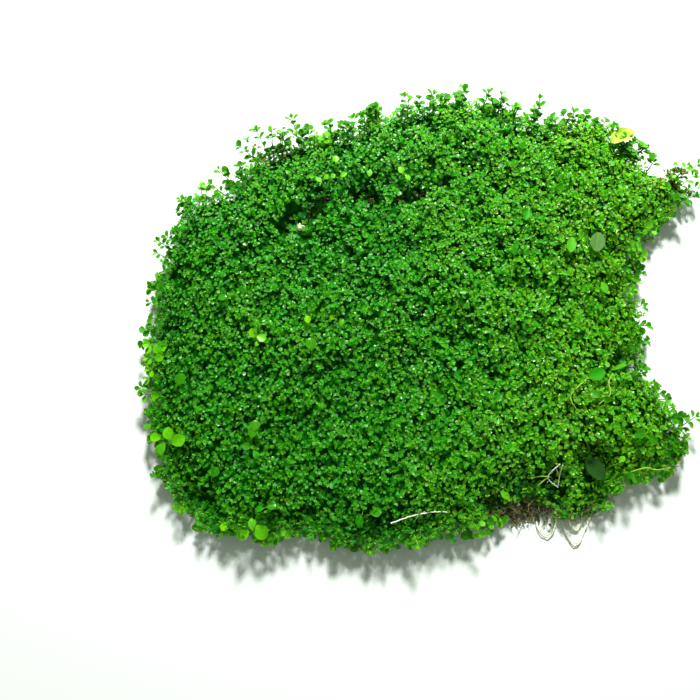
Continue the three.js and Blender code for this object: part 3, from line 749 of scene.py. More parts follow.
def set_leaves(heap, form, places, headings, ups, lengths, age, tone):
    """Copies the leaf to each place, along its heading with its upper side towards up."""
    x = unit(np.atleast_2d(headings))
    y = unit(np.cross(ups, x))
    turn = np.stack([x, y, np.cross(x, y)], 1)
    made = np.einsum("vk,nkj->nvj", form.points, turn) * np.reshape(lengths, (-1, 1, 1))
    heap.add(form, made + np.reshape(places, (-1, 1, 3)), age, tone)


def set_stems(heap, form, paths, radius, tone=0.0, taper=0.35):
    """Bends one copy of the stem along each path, given as evenly spaced points from foot to tip."""
    paths = np.reshape(paths, (-1, *np.shape(paths)[-2:]))
    steps = paths.shape[1] - 1
    index = np.clip(np.rint(form.points[:, 2] * steps).astype(int), 0, steps)
    before, after = np.clip(index - 1, 0, steps), np.clip(index + 1, 0, steps)
    along = unit(paths[:, after] - paths[:, before])
    side = unit(np.cross(along, np.array([0.31, 0.95, 0.05])))
    other = np.cross(along, side)
    thick = ((1 - taper * form.points[:, 2]) * radius)[None, :, None]
    ring = form.points[:, 0][None, :, None] * side + form.points[:, 1][None, :, None] * other
    heap.add(form, paths[:, index] + thick * ring, 0.5, tone, stem=True)


def bowed(foot, knee, tip, count):
    """Evenly counted points on the smooth curve through three points."""
    t = np.linspace(0, 1, count)[:, None]
    return foot * (1 - t) * (1 - 2 * t) + knee * 4 * t * (1 - t) + tip * t * (2 * t - 1)


def bent(start, straight, curl):
    """Five points on each path that sets out straight and curls aside."""
    return np.stack([start + straight * s + curl * s * s for s in np.linspace(0, 1, 5)], -2)


def smooth_route(points):
    """Evenly spaced points for a root, on a smooth curve through a row of points."""
    points = np.array(points, float)
    ends = np.concatenate([2 * points[:1] - points[1:2], points, 2 * points[-1:] - points[-2:-1]])
    t = np.linspace(0, 1, 12, endpoint=False)[:, None]
    curve = []
    for a, b, c, d in zip(ends[:-3], ends[1:-2], ends[2:-1], ends[3:]):
        curve.append(0.5 * (2 * b + (c - a) * t + (2 * a - 5 * b + 4 * c - d) * t ** 2
                            + (3 * b - a - 3 * c + d) * t ** 3))
    curve = np.concatenate(curve + [points[-1:]])
    length = np.concatenate([[0], np.cumsum(np.linalg.norm(np.diff(curve, axis=0), axis=1))])
    even = np.linspace(0, length[-1], ROOT_STEPS + 1)
    return np.stack([np.interp(even, length, curve[:, k]) for k in range(3)], 1)

small_leaves = (
    model_leaf(PLAIN, fold=0.10, droop=0.10, belly=0.06),
    model_leaf(NARROW, fold=0.17, droop=0.18, belly=0.06),
    model_leaf(WIDE, fold=0.05, droop=0.05, belly=0.06),
)
low_leaf = model_leaf(BLUNT, fold=0.06, droop=0.12, belly=0.06)
fine_leaves = (
    model_leaf(OVAL, fold=0.10, droop=0.12, belly=0.05, rounding=1),
    model_leaf(ROUND, fold=0.22, droop=0.10, belly=0.05, rounding=1),
    model_leaf(OVAL, fold=0.18, droop=-0.06, belly=0.05, rounding=1),
)
plain_leaves = (
    model_leaf(OVAL, fold=0.10, droop=0.10, belly=0.05),
    model_leaf(ROUND, fold=0.12, droop=0.05, belly=0.05),
)
thin_stem = model_stem(1, 3)
long_stem = model_stem(8, 6)
hair_form = model_stem(4, 4)
walk_form = model_stem(10, 4)
root_form = model_stem(ROOT_STEPS, 8)


# Materials

class Graph:
    """The nodes of a material or of a node group."""

    def __init__(self, tree):
        self.nodes, self.links = tree.nodes, tree.links

    def fill(self, inputs, values):
        """Gives each input its value, or the link to another node's output."""
        for place, value in values.items():
            if isinstance(value, bpy.types.NodeSocket):
                self.links.new(value, inputs[place])
            else:
                inputs[place].default_value = value

    def add(self, kind, values, **settings):
        node = self.nodes.new(f"ShaderNode{kind}")
        for name, setting in settings.items():
            setattr(node, name, setting)
        self.fill(node.inputs, dict(values))
        return node.outputs

    def mix(self, share, a, b):
        return self.add("Mix", {0: share, 6: a, 7: b}, data_type="RGBA")[2]

    def maths(self, operation, *values):
        return self.add("Math", enumerate(values), operation=operation)[0]

    def spread(self, value, *limits):
        """Maps the first two limits to the last two, or to 0 and 1."""
        return self.add("MapRange", enumerate((value, *limits)))[0]

    def attribute(self, name):
        return self.add("Attribute", {}, attribute_name=name)["Fac"]

    def noise(self, scale, detail=3.0, roughness=0.55):
        place = self.add("TexCoord", {})["Object"]
        values = {"Scale": scale, "Detail": detail, "Roughness": roughness, "Vector": place}
        return self.add("TexNoise", values)["Fac"]

    def bump(self, height, strength, distance):
        return self.add("Bump", {"Height": height, "Strength": strength, "Distance": distance})["Normal"]


def shader(name):
    """A new material, the graph of its nodes, and its shader's inputs."""
    material = bpy.data.materials.new(name)
    material.use_nodes = True
    return material, Graph(material.node_tree), material.node_tree.nodes["Principled BSDF"].inputs


def leaf_group():
    """Leaf tissue: colour from age and tone, paler ribs and margin, a pale underside, and a fine relief."""
    tree = bpy.data.node_groups.new("leaf tissue", "ShaderNodeTree")
    for direction, kind, labels in (
        ("INPUT", "NodeSocketColor", LEAF_COLOURS), ("INPUT", "NodeSocketFloat", ["Ribs"]),
        ("OUTPUT", "NodeSocketColor", ["Color"]), ("OUTPUT", "NodeSocketFloat", ["Roughness", "Height"]),
    ):
        for label in labels:
            tree.interface.new_socket(name=label, in_out=direction, socket_type=kind)
    graph = Graph(tree)
    given = tree.nodes.new("NodeGroupInput").outputs
    labels = ("age", "tone", "along", "across", "underside")
    age, tone, along, across, under = [graph.attribute(label) for label in labels]
    colour = graph.mix(graph.spread(age, 0.0, 0.45), given["Young"], given["Grown"])
    colour = graph.mix(graph.spread(age, 0.45, 1.0), colour, given["Old"])
    mottle = graph.noise(900)
    lighter = graph.maths("MULTIPLY_ADD", tone, 0.11, 1.0)
    lighter = graph.maths("ADD", lighter, graph.spread(mottle, 0.3, 0.7, -0.12, 0.12))
    hue = graph.maths("MULTIPLY_ADD", tone, -0.010, 0.497)
    toned = graph.add("HueSaturation", {"Hue": hue, "Value": lighter, "Color": colour})["Color"]
    off = graph.maths("ABSOLUTE", across)
    midrib = graph.spread(off, 0.10, 0.02)
    slant = graph.maths("MULTIPLY_ADD", off, -0.32, along)
    wave = graph.maths("SINE", graph.maths("MULTIPLY", slant, 38.0))
    side_ribs = graph.maths("MULTIPLY", graph.spread(wave, 0.82, 1.0), 0.6)
    ribs = graph.maths("MAXIMUM", midrib, side_ribs)
    margin = graph.spread(off, 0.80, 1.0, 0, 0.35)
    stalk = graph.spread(along, 0.2, 0.0, 0, 0.6)
    pale_ribs = graph.maths("MULTIPLY", ribs, given["Ribs"])
    paler = graph.maths("MAXIMUM", pale_ribs, graph.maths("MAXIMUM", margin, stalk))
    veined = graph.mix(paler, toned, given["Vein"])
    dull = graph.maths("MULTIPLY_ADD", under, 0.25, 0.25)
    graph.fill(tree.nodes.new("NodeGroupOutput").inputs, {
        "Color": graph.mix(graph.maths("MULTIPLY", under, 0.75), veined, given["Underside"]),
        "Roughness": graph.maths("ADD", dull, graph.spread(mottle, 0.3, 0.7, -0.05, 0.08)),
        "Height": graph.maths("MULTIPLY_ADD", ribs, -0.6, graph.noise(2600, 2)),
    })
    return tree


def leaf_material(name, gloss, glow, through, ribs, *colours):
    """A leaf of tissue in these colours, glossy, with light that passes through it."""
    material, graph, look = shader(name)
    values = {label: (*colour, 1) for label, colour in zip(LEAF_COLOURS, colours)}
    leaf = graph.add("Group", {**values, "Ribs": ribs}, node_tree=tissue)
    graph.fill(look, {
        "Base Color": leaf["Color"],
        "Roughness": leaf["Roughness"],
        "Normal": graph.bump(leaf["Height"], 0.25, 0.0001),
        "Specular IOR Level": gloss,
        "Specular Tint": GLOSS_TINT,
        "Subsurface Weight": glow,
        "Subsurface Radius": through,
        "Subsurface Scale": GLOW_DEPTH,
    })
    return material


def rough_material(name, dark, light, scale, roughness, relief, depth=0.0003, middle=0.67, gloss=0.1):
    """A rough natural surface that drifts between two colours, finely broken up."""
    material, graph, look = shader(name)
    broad = graph.noise(scale, 5, 0.6)
    fine = graph.noise(scale * 9, 3, 0.6)
    drift = graph.maths("ADD", broad, graph.maths("MULTIPLY", fine, 0.35))
    mask = graph.spread(drift, middle - 0.17, middle + 0.17)
    graph.fill(look, {
        "Base Color": graph.mix(mask, (*dark, 1), (*light, 1)),
        "Roughness": graph.spread(fine, 0.3, 0.7, roughness - 0.1, roughness + 0.1),
        "Normal": graph.bump(fine, relief, depth),
        "Specular IOR Level": gloss,
    })
    return material


tissue = leaf_group()
skins = {name: leaf_material(name, *finish) for name, finish in LEAF_FINISHES.items()}
skins |= {name: rough_material(name, *finish) for name, finish in ROUGH_SKINS.items()}


# The carpet

def set_shoots(heap, tips, ups, outs, tone, bend=0.03, age=0.0):
    """Sets one shoot under each tip: a stem, and pairs of opposite leaves that cross from pair to pair."""
    count = len(tips)
    growth = to_the_right(tips[:, 0])
    scale = rng.normal(1, LEAF_SPREAD, count).clip(0.7, 1.35)
    scale *= SIZE_LEFT + (SIZE_RIGHT - SIZE_LEFT) * growth
    spin = rng.uniform(0, math.tau, count)
    first = unit(np.cross(ups, np.array([0.21, 0.11, 0.98])))
    second = np.cross(ups, first)

    def under_tips(depth):
        depth = (depth * scale)[:, None]
        return tips - ups * depth - outs * bend * depth ** 2 / 2

    for k, (pair_depth, pair_size, pair_lift) in enumerate(LEAF_PAIRS):
        centre = under_tips(pair_depth)
        turn = spin + k * math.pi / 2 + rng.normal(0, 0.25, count)
        for half in (0, 1):
            angle = turn + half * math.pi + rng.normal(0, 0.14, count)
            flat = np.cos(angle)[:, None] * first + np.sin(angle)[:, None] * second
            lift = np.radians(pair_lift + rng.normal(0, 11, count))[:, None]
            heading = np.cos(lift) * flat + np.sin(lift) * ups
            facing = np.cos(lift) * ups - np.sin(lift) * flat + rng.normal(0, 0.26, (count, 3))
            lengths = LEAF_LENGTH * pair_size * scale * rng.normal(1, 0.09, count)
            ripe = np.clip(0.16 + 0.3 * k + age - 0.60 * growth + rng.normal(0, 0.12, count), 0, 1)
            shade = (tone + rng.normal(0, 0.55, count)).clip(-1.8, 1.8)
            form = low_leaf if k == 2 else small_leaves[k + half]
            set_leaves(heap, form, centre + flat * STEM_RADIUS * 0.6, heading, facing, lengths, ripe, shade)
    set_stems(heap, thin_stem, np.stack([under_tips(STEM_DEPTH), under_tips(0.5)], 1), STEM_RADIUS, tone)


def carpet_tips():
    """Where the carpet's shoots end: a loose triangular grid over the plan, leaning outwards at the rim."""
    row = SHOOT_SPACING * math.sqrt(3) / 2
    low, high = plan.low, plan.low + plan.STEP * np.array(plan.top.shape)
    grid = [(x + (k % 2) * SHOOT_SPACING / 2, y) for k, y in enumerate(np.arange(low[1], high[1], row))
            for x in np.arange(low[0], high[0], SHOOT_SPACING)]
    seats = np.array(grid) + rng.normal(0, SHOOT_SPACING * 0.22, (len(grid), 2))
    seats = seats[plan.inset(*seats.T) > 0.8]
    clumps = plan.at(plan.clumps, *seats.T)
    luck = rng.random(len(seats))
    tear = from_tear(*seats.T)
    bare = (tear < 1 + 0.35 * clumps) & (luck < 0.72)
    bare |= thinned(*seats.T, luck)
    (x, y), clumps, tear = seats[~bare].T, clumps[~bare], tear[~bare]
    rim = plan.inset(x, y)
    outs = plan.outward(x, y)
    lean = 0.95 * np.exp(-rim / 6.0)
    fall = np.stack([plan.at(plan.fall_x, x, y), plan.at(plan.fall_y, x, y), np.zeros(len(x))], 1)
    ups = unit(UP + outs * lean[:, None] + 0.55 * fall + rng.normal(0, 0.19, (len(x), 3)))
    top = surface(x, y) + rng.normal(-0.6, 0.8, len(x)) - np.where(tear < 1, 3.5, 0)
    top += np.where(rng.random(len(x)) < 0.05, rng.uniform(0.8, 2.4, len(x)), 0)
    tips = np.stack([x, y, np.minimum(top, room_for_leaves(x, y))], 1)
    clear = np.min([from_hole(tips - ups * depth) for depth in (0, 3, 6, 8)], axis=0) > HOLE_CLEAR
    # Painted light and shade in the tone: it rises with the clumps, so raised clumps are painted lighter
    # and hollows darker, and shoots in the small gaps are painted darker still.
    tone = 0.5 * plan.at(plan.drift, x, y) + 0.5 * clumps + rng.normal(0, 0.8, len(x))
    tone += 0.3 * np.exp(-rim / 9) + 0.9 * to_the_right(x) - (clumps < SMALL_GAP)
    return [a[clear] for a in (tips, ups, outs, tone)]


def rim_tips():
    """Tiers of shoots down the carpet's side, all the way round."""
    edge = plan.places(np.abs(plan.rim) < plan.STEP * 0.75)
    tiers = []
    for height, reach, climb in RIM_TIERS:
        picked = []
        for point in rng.permutation(edge):
            if all(math.dist(point, other) > RIM_SPACING for other in picked):
                picked.append(point)
        x, y = (np.array(picked) + rng.normal(0, 0.9, (len(picked), 2))).T
        kept = ~thinned(x, y, rng.random(len(x)))
        x, y = x[kept], y[kept]
        out = plan.outward(x, y)
        push = (reach + rng.uniform(-1.5, 2.0, len(x)))[:, None]
        level = height * plan.height(x, y).clip(9, 14) / 12.5 + rng.normal(0, 1.0, len(x)) - sunk(x, y)
        rising = UP * (climb + rng.normal(0, 0.3, (len(x), 1)))
        up = unit(out + rising + rng.normal(0, 0.28, (len(x), 3)))
        tiers.append((np.stack([x, y, level.clip(1.6, None)], 1) + out * push, up, out))
    tips, ups, outs = (np.concatenate(parts) for parts in zip(*tiers))
    return tips, ups, outs, rng.normal(0.0, 0.9, len(tips)) + 0.9 * to_the_right(tips[:, 0])


def set_rim_leaves(heap, count):
    """Leaves under the rim's shoots, which close the carpet's side down to its felt: old leaves with a low
    tone, which paints the shade under the shoots.
    """
    edge = plan.places((plan.rim > -2.5) & (plan.rim < 5.5))
    seats = edge[rng.integers(len(edge), size=count)] + rng.uniform(-1, 1, (count, 2))
    outs = plan.outward(*seats.T)
    over = np.maximum(1 - plan.inset(*seats.T), 0)
    level = plan.height(*seats.T) - sunk(*seats.T) - rng.uniform(2.6, 6.5, count) - 1.5 * over
    set_leaves(heap, low_leaf, raised(seats, level.clip(1.5, None)),
               outs + rng.normal(0, 0.7, (count, 3)) * [1, 1, 0.3],
               UP + 0.5 * outs + rng.normal(0, 0.3, (count, 3)), rng.uniform(2.2, 3.4, count),
               rng.uniform(0.7, 1, count), rng.normal(-2.4, 0.6, count))


carpet = carpet_tips()
column = np.digitize(carpet[0][:, 0], np.quantile(carpet[0][:, 0], (0.25, 0.5, 0.75)))
for number, part in enumerate(("left", "middle_left", "middle_right", "right")):
    heap = Heap()
    set_shoots(heap, *[values[column == number] for values in carpet])
    heap.piece(f"carpet_{part}", ("green leaf", "green stem"))

heap = Heap()
set_shoots(heap, *rim_tips(), bend=0.0, age=-0.1)
set_rim_leaves(heap, RIM_LEAVES)
heap.piece("carpet_rim", ("green leaf", "green stem"))


# Sprigs

def add_sprig(heap, forms, stem, route, leaf, pairs, start=0.4, age=0.15, tone=0.3):
    """One sprig along a route of three points: crossed pairs of leaves, and a bud of two small ones."""
    path = bowed(*route, SPRIG_STEPS + 1)
    spin = rng.uniform(0, math.pi)
    spots = list(np.linspace(start, 0.93, pairs)) if pairs > 1 else [0.9]
    for k, spot in enumerate(spots + [1.0]):
        at = int(round(spot * SPRIG_STEPS))
        along = unit(path[min(at + 1, SPRIG_STEPS)] - path[at - 1])
        side = unit(np.cross(along, UP) + 1e-6)
        other = np.cross(side, along)
        angle = spin + k * math.pi / 2 + rng.normal(0, 0.25)
        bud = k == len(spots)
        size = leaf * (0.7 if bud else rng.uniform(0.9, 1.15))
        for half in (0, math.pi):
            flat = math.cos(angle + half) * side + math.sin(angle + half) * other
            lift = math.radians((58 if bud else 32) + rng.normal(0, 9))
            heading = math.cos(lift) * flat + math.sin(lift) * along
            heading[2] *= 0.4
            facing = math.cos(lift) * along - math.sin(lift) * flat + 2.2 * UP + rng.normal(0, 0.2, 3)
            form = forms[rng.integers(len(forms))]
            ripe = age + (0 if bud else 0.12 * (len(spots) - k)) + rng.normal(0, 0.06)
            set_leaves(heap, form, path[at] + 0.2 * flat, heading, facing, size, max(0, ripe),
                       tone + rng.normal(0, 0.5))
    set_stems(heap, stem, path[::5], SPRIG_RADIUS, tone)


def add_plain_sprig(heap, foot, tip, rise, lengths, oldest, tone=0.3):
    """A short sprig from foot to tip, which rises a little between them."""
    route = (foot, (foot + tip) / 2 + UP * rise, tip)
    add_sprig(heap, plain_leaves, hair_form, route, rng.uniform(*lengths), rng.integers(2, 4),
              age=rng.uniform(0, oldest), tone=rng.normal(tone, 0.7))


# Short sprigs break up the rim, and a thick bunch of them makes up the arm on the right.
heaps = {colour: Heap() for colour in SPRIG_SKINS}
edge = plan.places(np.abs(plan.rim - 1) < plan.STEP * 0.6)
for seat in edge[rng.permutation(len(edge))[:RIM_SPRIGS]]:
    heap = heaps["lime" if rng.random() < LIME_SHARE else "green"]
    out = unit(plan.outward(*seat) + rng.normal(0, 0.35, 3) * [1, 1, 0])
    height = plan.height(*seat) * rng.uniform(0.35, 1.05) - sunk(*seat)
    foot = np.array([*seat, height - rng.uniform(1, 3)]) - out * 3
    tip = np.array([*seat, height + rng.uniform(0, 3)]) + out * rng.uniform(1, 6)
    add_plain_sprig(heap, foot, tip, rng.uniform(0, 1.5), (2.6, 3.8), 0.3, 0.8)
back = edge[edge[:, 1] > shift[1] + BACK_FROM_Y]
for seat in back[rng.permutation(len(back))[:BACK_SPRIGS]]:
    heap = heaps["lime" if rng.random() < 2 * LIME_SHARE else "green"]
    out = plan.outward(*seat)
    height = plan.height(*seat)
    foot = np.array([*seat, height - 6]) - out * 2
    tip = np.array([*seat, height + rng.uniform(1, 4)]) + out * rng.uniform(1, 7)
    add_plain_sprig(heap, foot, tip, 1, (3, 4.2), 0.2)
for share in rng.random(ARM_SPRIGS):
    heap = heaps[("green", "lime", "lime", "brown")[rng.integers(4)]]
    seat = np.array(ARM_FROM) * (1 - share) + np.array(ARM_TO) * share + rng.normal(0, 3.2, 2) + shift[:2]
    foot = np.array([*seat, rng.uniform(3, 6)])
    tip = foot + np.array([rng.uniform(-1, 6), rng.uniform(-2, 6), rng.uniform(3, 7)])
    add_plain_sprig(heap, foot, tip, 1, (2.6, 3.8), 0.3)
for colour, name in (("green", "rim_sprigs"), ("lime", "rim_sprigs_lime"), ("brown", "arm_sprigs_brown")):
    heaps[colour].piece(name, SPRIG_SKINS[colour])

for colour, sprigs in FRINGE.items():
    heap = Heap()
    for *ends, leaf, pairs in sprigs:
        foot, tip = np.reshape(ends, (2, 3)) + shift
        foot[2] = max(3, min(foot[2], plan.height(*foot[:2]) - 5))
        knee = foot + (tip - foot) * [0.5, 0.5, 0.3]
        add_sprig(heap, fine_leaves, hair_form, (foot, knee, tip), 0.92 * leaf, pairs)
    heap.piece(f"fringe_{colour}", SPRIG_SKINS[colour])

for name, (*tip, pairs) in EDGE_SHOOTS.items():
    tip = np.array(tip) + shift
    foot = tip - plan.outward(*tip[:2]) * (SHOOT_DEPTH - plan.inset(*tip[:2]))
    foot[2] = SHOOT_FOOT_HEIGHT
    tip = tip - unit(tip - foot) * SHOOT_END
    knee = (foot + tip) / 2
    knee[2] = foot[2] + 0.75 * (tip[2] - foot[2])
    heap = Heap()
    add_sprig(heap, fine_leaves, long_stem, (foot, knee, tip), SHOOT_LEAF, pairs, start=0.45)
    heap.piece(f"{name}_leaves", ("sprig leaf", "green stem"), name, "shoot")


# Broad leaves and dead ones

def open_leaves(name, leaves, finish, *place):
    """A piece of broad leaves that lie open to the light, each on a stalk out of the carpet."""
    heap = Heap()
    for x, y, rise, length, heading in leaves:
        along = unit(toward(math.radians(heading), rng.normal(0.1, 0.12)))
        middle = np.array([x, y, 0]) + shift
        middle[2] = plan.height(*middle[:2]) + rise
        base = middle - along * length / 2
        facing = UP + rng.normal(0, 0.24, 3)
        form = fine_leaves[int(rng.random() < 0.75)]
        age = max(0, 0.1 + rng.normal(0, 0.1))
        set_leaves(heap, form, base, along, facing, 1.15 * length, age, rng.normal(0, 0.6))
        foot = base - along * 2 - UP * 6
        knee = base - along * 1.6 - UP * 2
        set_stems(heap, long_stem, bowed(foot, knee, base, 9), 0.3)
    heap.piece(name, (finish, "lime stem"), *place)


for name, leaves in BRIGHT_SHOOTS.items():
    finish = "broad green leaf" if name == "bright_shoot_middle" else "lime leaf"
    open_leaves(f"{name}_leaves", leaves, finish, name, "bright_shoot")
open_leaves("broad_leaves_lime", LIME_LEAVES, "lime leaf")
open_leaves("broad_leaves_green", GREEN_LEAVES, "broad green leaf")

heap = Heap()
scattered = np.stack([rng.uniform(-125, 100, DEAD_BITS), rng.uniform(-95, 90, DEAD_BITS),
                      rng.uniform(1.0, 1.8, DEAD_BITS)], 1)
for x, y, length in np.concatenate([np.array(DEAD_LEAVES), scattered]):
    x, y = x + shift[0], y + shift[1]
    if plan.inset(x, y) > 1:
        place = np.array([x, y, plan.height(x, y) + rng.uniform(-2, 0)])
        set_leaves(heap, small_leaves[1], place, rng.normal(0, 1, 3) * [1, 1, 0.3],
                   UP + rng.normal(0, 0.4, 3), 0.75 * length, rng.random(), rng.normal(0, 1))
heap.piece("dead_leaves", ("dead leaf",))


def loose_leaf(node, finish, slot, fold=0.10, droop=0.05, roll=0.0, crumple=0.0, larger=1.0, rise=0.6):
    """One broad leaf that lies where its CAD node lies."""
    _, _, length, ratio, heading = LOOSE_LEAVES[node]
    length *= larger
    outline = [(station, share * ratio) for station, share in BROAD]
    form = model_leaf(outline, fold=fold, droop=droop, belly=0.03, rows=4, rounding=1)
    x, y = form.points[:, 0], form.points[:, 1]
    form.points[:, 2] += crumple * (np.sin(9 * x + 5 * y) + np.sin(11 * y - 6 * x + 1) * 0.8)
    low, high = (np.array(c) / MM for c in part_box(node))
    along = unit(toward(math.radians(heading), LOOSE_LEAF_SLOPE))
    side = toward(math.radians(heading + 90))
    heap = Heap()
    base = (low + high) / 2 - along * length / 2 + UP * rise
    set_leaves(heap, form, base, along, UP + roll * side, length, 0.3, 0.0)
    heap.piece(f"{node}_blade", (finish,), node, slot, sharp=80)


loose_leaf("round_leaf_grey", "grey leaf", "grey_leaf", fold=0.06, droop=0.04)
loose_leaf("oval_leaf_bright", "lime leaf", "bright_shoot", fold=0.12)
loose_leaf("oval_leaf_right", "lime leaf", "bright_shoot")
loose_leaf("oval_leaf_back", "broad green leaf", "bright_shoot", fold=0.22)
loose_leaf("round_leaf_green", "broad green leaf", "shoot", roll=-0.1)
loose_leaf("strap_leaf_right", "lime leaf", "bright_shoot", fold=0.05)
# This leaf's colour holds painted shade of the hollow at the front right.
loose_leaf("round_leaf_dark", "dark leaf in painted shade", "dark_leaf", fold=0.08)
loose_leaf("yellow_leaf", "yellow leaf", "yellow_leaf", fold=0.12, roll=0.2, crumple=0.05, larger=1.35,
           rise=3.2)


# Roots and bare runners

def root_piece(node, route, finish, radius=ROOT_RADIUS, hairs=14, strands=1, branches=()):
    """A bare root or runner, or a bundle of them, with fine side roots."""
    heap = Heap()
    path = smooth_route(route)
    for number in range(strands):
        wander = rng.normal(0, 0.10, path.shape)
        wander[0] = wander[-1] = 0
        beside = 0.9 * radius * number * toward(2.2 * number, 0.3)
        swing = np.sin(np.linspace(0, 2.6 * math.pi, len(path)) + number)[:, None] * 0.35 * beside
        set_stems(heap, root_form, path + wander + beside + swing, radius, taper=0.45)
    for branch in branches:
        set_stems(heap, root_form, smooth_route(branch), 0.8 * radius, taper=0.45)
    for _ in range(hairs):
        at = rng.integers(4, 30)
        way = unit(rng.normal(0, 1, 3) * [1, 1, 0.35])
        hair = bent(path[at], way * rng.uniform(1.2, 3.2), rng.normal(0, 0.35, 3))
        set_stems(heap, hair_form, hair, radius * 0.28, taper=0.6)
    heap.piece(f"{node}_strand", (finish, finish), node, "root")


def on_top(route, over=ROOT_OVER_CARPET_ELSEWHERE):
    """A route of x and y in plan, laid on top of the carpet."""
    x, y = (np.array(route) + shift[:2]).T
    return np.stack([x, y, plan.height(x, y) - sunk(x, y) + over], 1)


for name, route in GROUND_ROOTS.items():
    root_piece(name, np.array(route) + shift, "root", strands=3)
for name, route in TOP_ROOTS.items():
    finish = "pale stem" if "side" in name else "root"
    branches = [on_top(branch) for branch in ROOT_BRANCHES.get(name, ())]
    over = ROOT_OVER_CARPET.get(name, ROOT_OVER_CARPET_ELSEWHERE)
    root_piece(name, on_top(route, over), finish, RUNNER_RADIUS, hairs=5, branches=branches)

heap = Heap()
for route in LIME_RUNNERS:
    path = np.array(route) + shift if len(route[0]) == 3 else on_top(route)
    set_stems(heap, root_form, smooth_route(path), 0.34, taper=0.3)
heap.piece("lime_runners", ("pale stem", "pale stem"))

heap = Heap()
mouth = np.array(ROOT_TIPS_AT) + shift
for turn in rng.uniform(0, math.tau, ROOT_TIPS):
    way = toward(turn)
    foot = mouth + way * 0.4 - UP * 3
    tip = mouth + way * ROOT_TIP_LENGTH / 2 + UP * rng.uniform(-0.4, 0.6)
    set_stems(heap, hair_form, bowed(foot, mouth + way * 0.5 + UP * 0.8, tip, 5), 0.6)
heap.piece("root_tips_in_hole", ("root", "root"), slot="root")


# The thatch of old shoots and the root felt under the leaves

def cushion(name, margin, cell, levels):
    """A closed slab cut to the plan, a margin inside its rim, with a ring of points to each level."""
    low, high = plan.low, plan.low + plan.STEP * (np.array(plan.top.shape) - 1)
    cells = np.rint((high - low) / cell).astype(int)
    deselect()
    bpy.ops.mesh.primitive_grid_add(x_subdivisions=int(cells[0]), y_subdivisions=int(cells[1]), size=1)
    slab = bpy.context.object
    slab.name = name
    slab.scale = (*(high - low) * MM, 1)
    slab.location = (*(low + high) / 2 * MM, 0)
    bpy.ops.object.transform_apply()
    bpy.ops.object.mode_set(mode="EDIT")
    pick(slab, lambda v: plan.inset(v.co.x / MM, v.co.y / MM) < margin)
    bpy.ops.mesh.delete(type="VERT")
    bpy.ops.mesh.select_all(action="SELECT")
    bpy.ops.mesh.delete_loose(use_verts=True, use_edges=True, use_faces=False)
    edit = bmesh.from_edit_mesh(slab.data)
    for v in edit.verts:
        if v.is_boundary:
            x, y = v.co.x / MM, v.co.y / MM
            step = plan.outward(x, y) * (plan.inset(x, y) - margin) * MM
            v.co.x += step[0]
            v.co.y += step[1]
        v.co.z = levels[0] * MM
    bmesh.update_edit_mesh(slab.data)
    bpy.ops.mesh.select_all(action="SELECT")
    for below, above in zip(levels[:-1], levels[1:]):
        bpy.ops.mesh.extrude_region_move(TRANSFORM_OT_translate={"value": (0, 0, (above - below) * MM)})
    bpy.ops.mesh.select_all(action="SELECT")
    bpy.ops.mesh.normals_make_consistent(inside=False)
    bpy.ops.object.mode_set(mode="OBJECT")
    return slab


def finish_slab(piece, finish, nodes):
    """Takes the leaning hole out of a slab, and gives the slab its skin and its place."""
    deselect()
    bpy.ops.mesh.primitive_cylinder_add(vertices=14, radius=HOLE_RADIUS * MM, depth=0.06)
    bore = bpy.context.object
    bore.rotation_mode = "QUATERNION"
    bore.rotation_quaternion = Vector((0, 0, 1)).rotation_difference(Vector(hole_axis()))
    bore.location = Vector((np.array(HOLE_AT) + shift) * MM)
    modifier = piece.modifiers.new("hole", "BOOLEAN")
    modifier.operation = "DIFFERENCE"
    modifier.object = bore
    only(piece)
    bpy.ops.object.modifier_apply(modifier="hole")
    bpy.data.objects.remove(bore)
    bpy.ops.object.shade_smooth_by_angle(angle=math.radians(50))
    piece.data.materials.clear()
    piece.data.materials.append(skins[finish])
    settle(piece, nodes)


thatch = cushion("carpet_thatch", *THATCH)
upper = [v for v in thatch.data.vertices if v.co.z > (THATCH[2][-1] - 0.1) * MM]
x, y = np.array([v.co[:2] for v in upper]).T / MM
sink = 4.0 + 3.0 * np.exp(-np.maximum(plan.inset(x, y), 0) / 5) + 3.0 * (from_tear(x, y) < 1.2)
sink += rng.normal(0, 0.4, len(x))
level = np.minimum(surface(x, y) - sink, room_for_leaves(x, y) - 2)
for v, z in zip(upper, np.maximum(level, THATCH_LOWEST)):
    v.co.z = z * MM
finish_slab(thatch, "thatch", ["leaf_carpet"])

felt = cushion("root_felt_body", *FELT)
for v in felt.data.vertices:
    if plan.inset(v.co.x / MM, v.co.y / MM) < FELT_EDGE:
        v.co.x += rng.normal(0, FELT_ROUGHNESS) * MM
        v.co.y += rng.normal(0, FELT_ROUGHNESS) * MM
    v.co.z += abs(rng.normal(0, FELT_ROUGHNESS / 2)) * MM * (1 if v.co.z < 0.003 else -1)
finish_slab(felt, "root felt", ["root_felt"])


def strands_under(count, steps, stride, height):
    """Random walks of roots across the underside of the felt."""
    seats = plan.low + rng.random((count * 6, 2)) * plan.STEP * np.array(plan.top.shape)
    seats = seats[plan.inset(*seats.T) > 6][:count]
    heading = rng.uniform(0, math.tau, len(seats))
    walk = [seats]
    for _ in range(steps):
        heading = heading + rng.normal(0, 0.3, len(seats))
        step = walk[-1] + stride * toward(heading)[:, :2]
        over = np.maximum(4.8 - plan.inset(*step.T), 0)[:, None]
        walk.append(step - plan.outward(*step.T)[:, :2] * over)
    level = height + rng.normal(0, 0.08, (len(seats), steps + 1, 1))
    return np.concatenate([np.stack(walk, 1), level], 2)


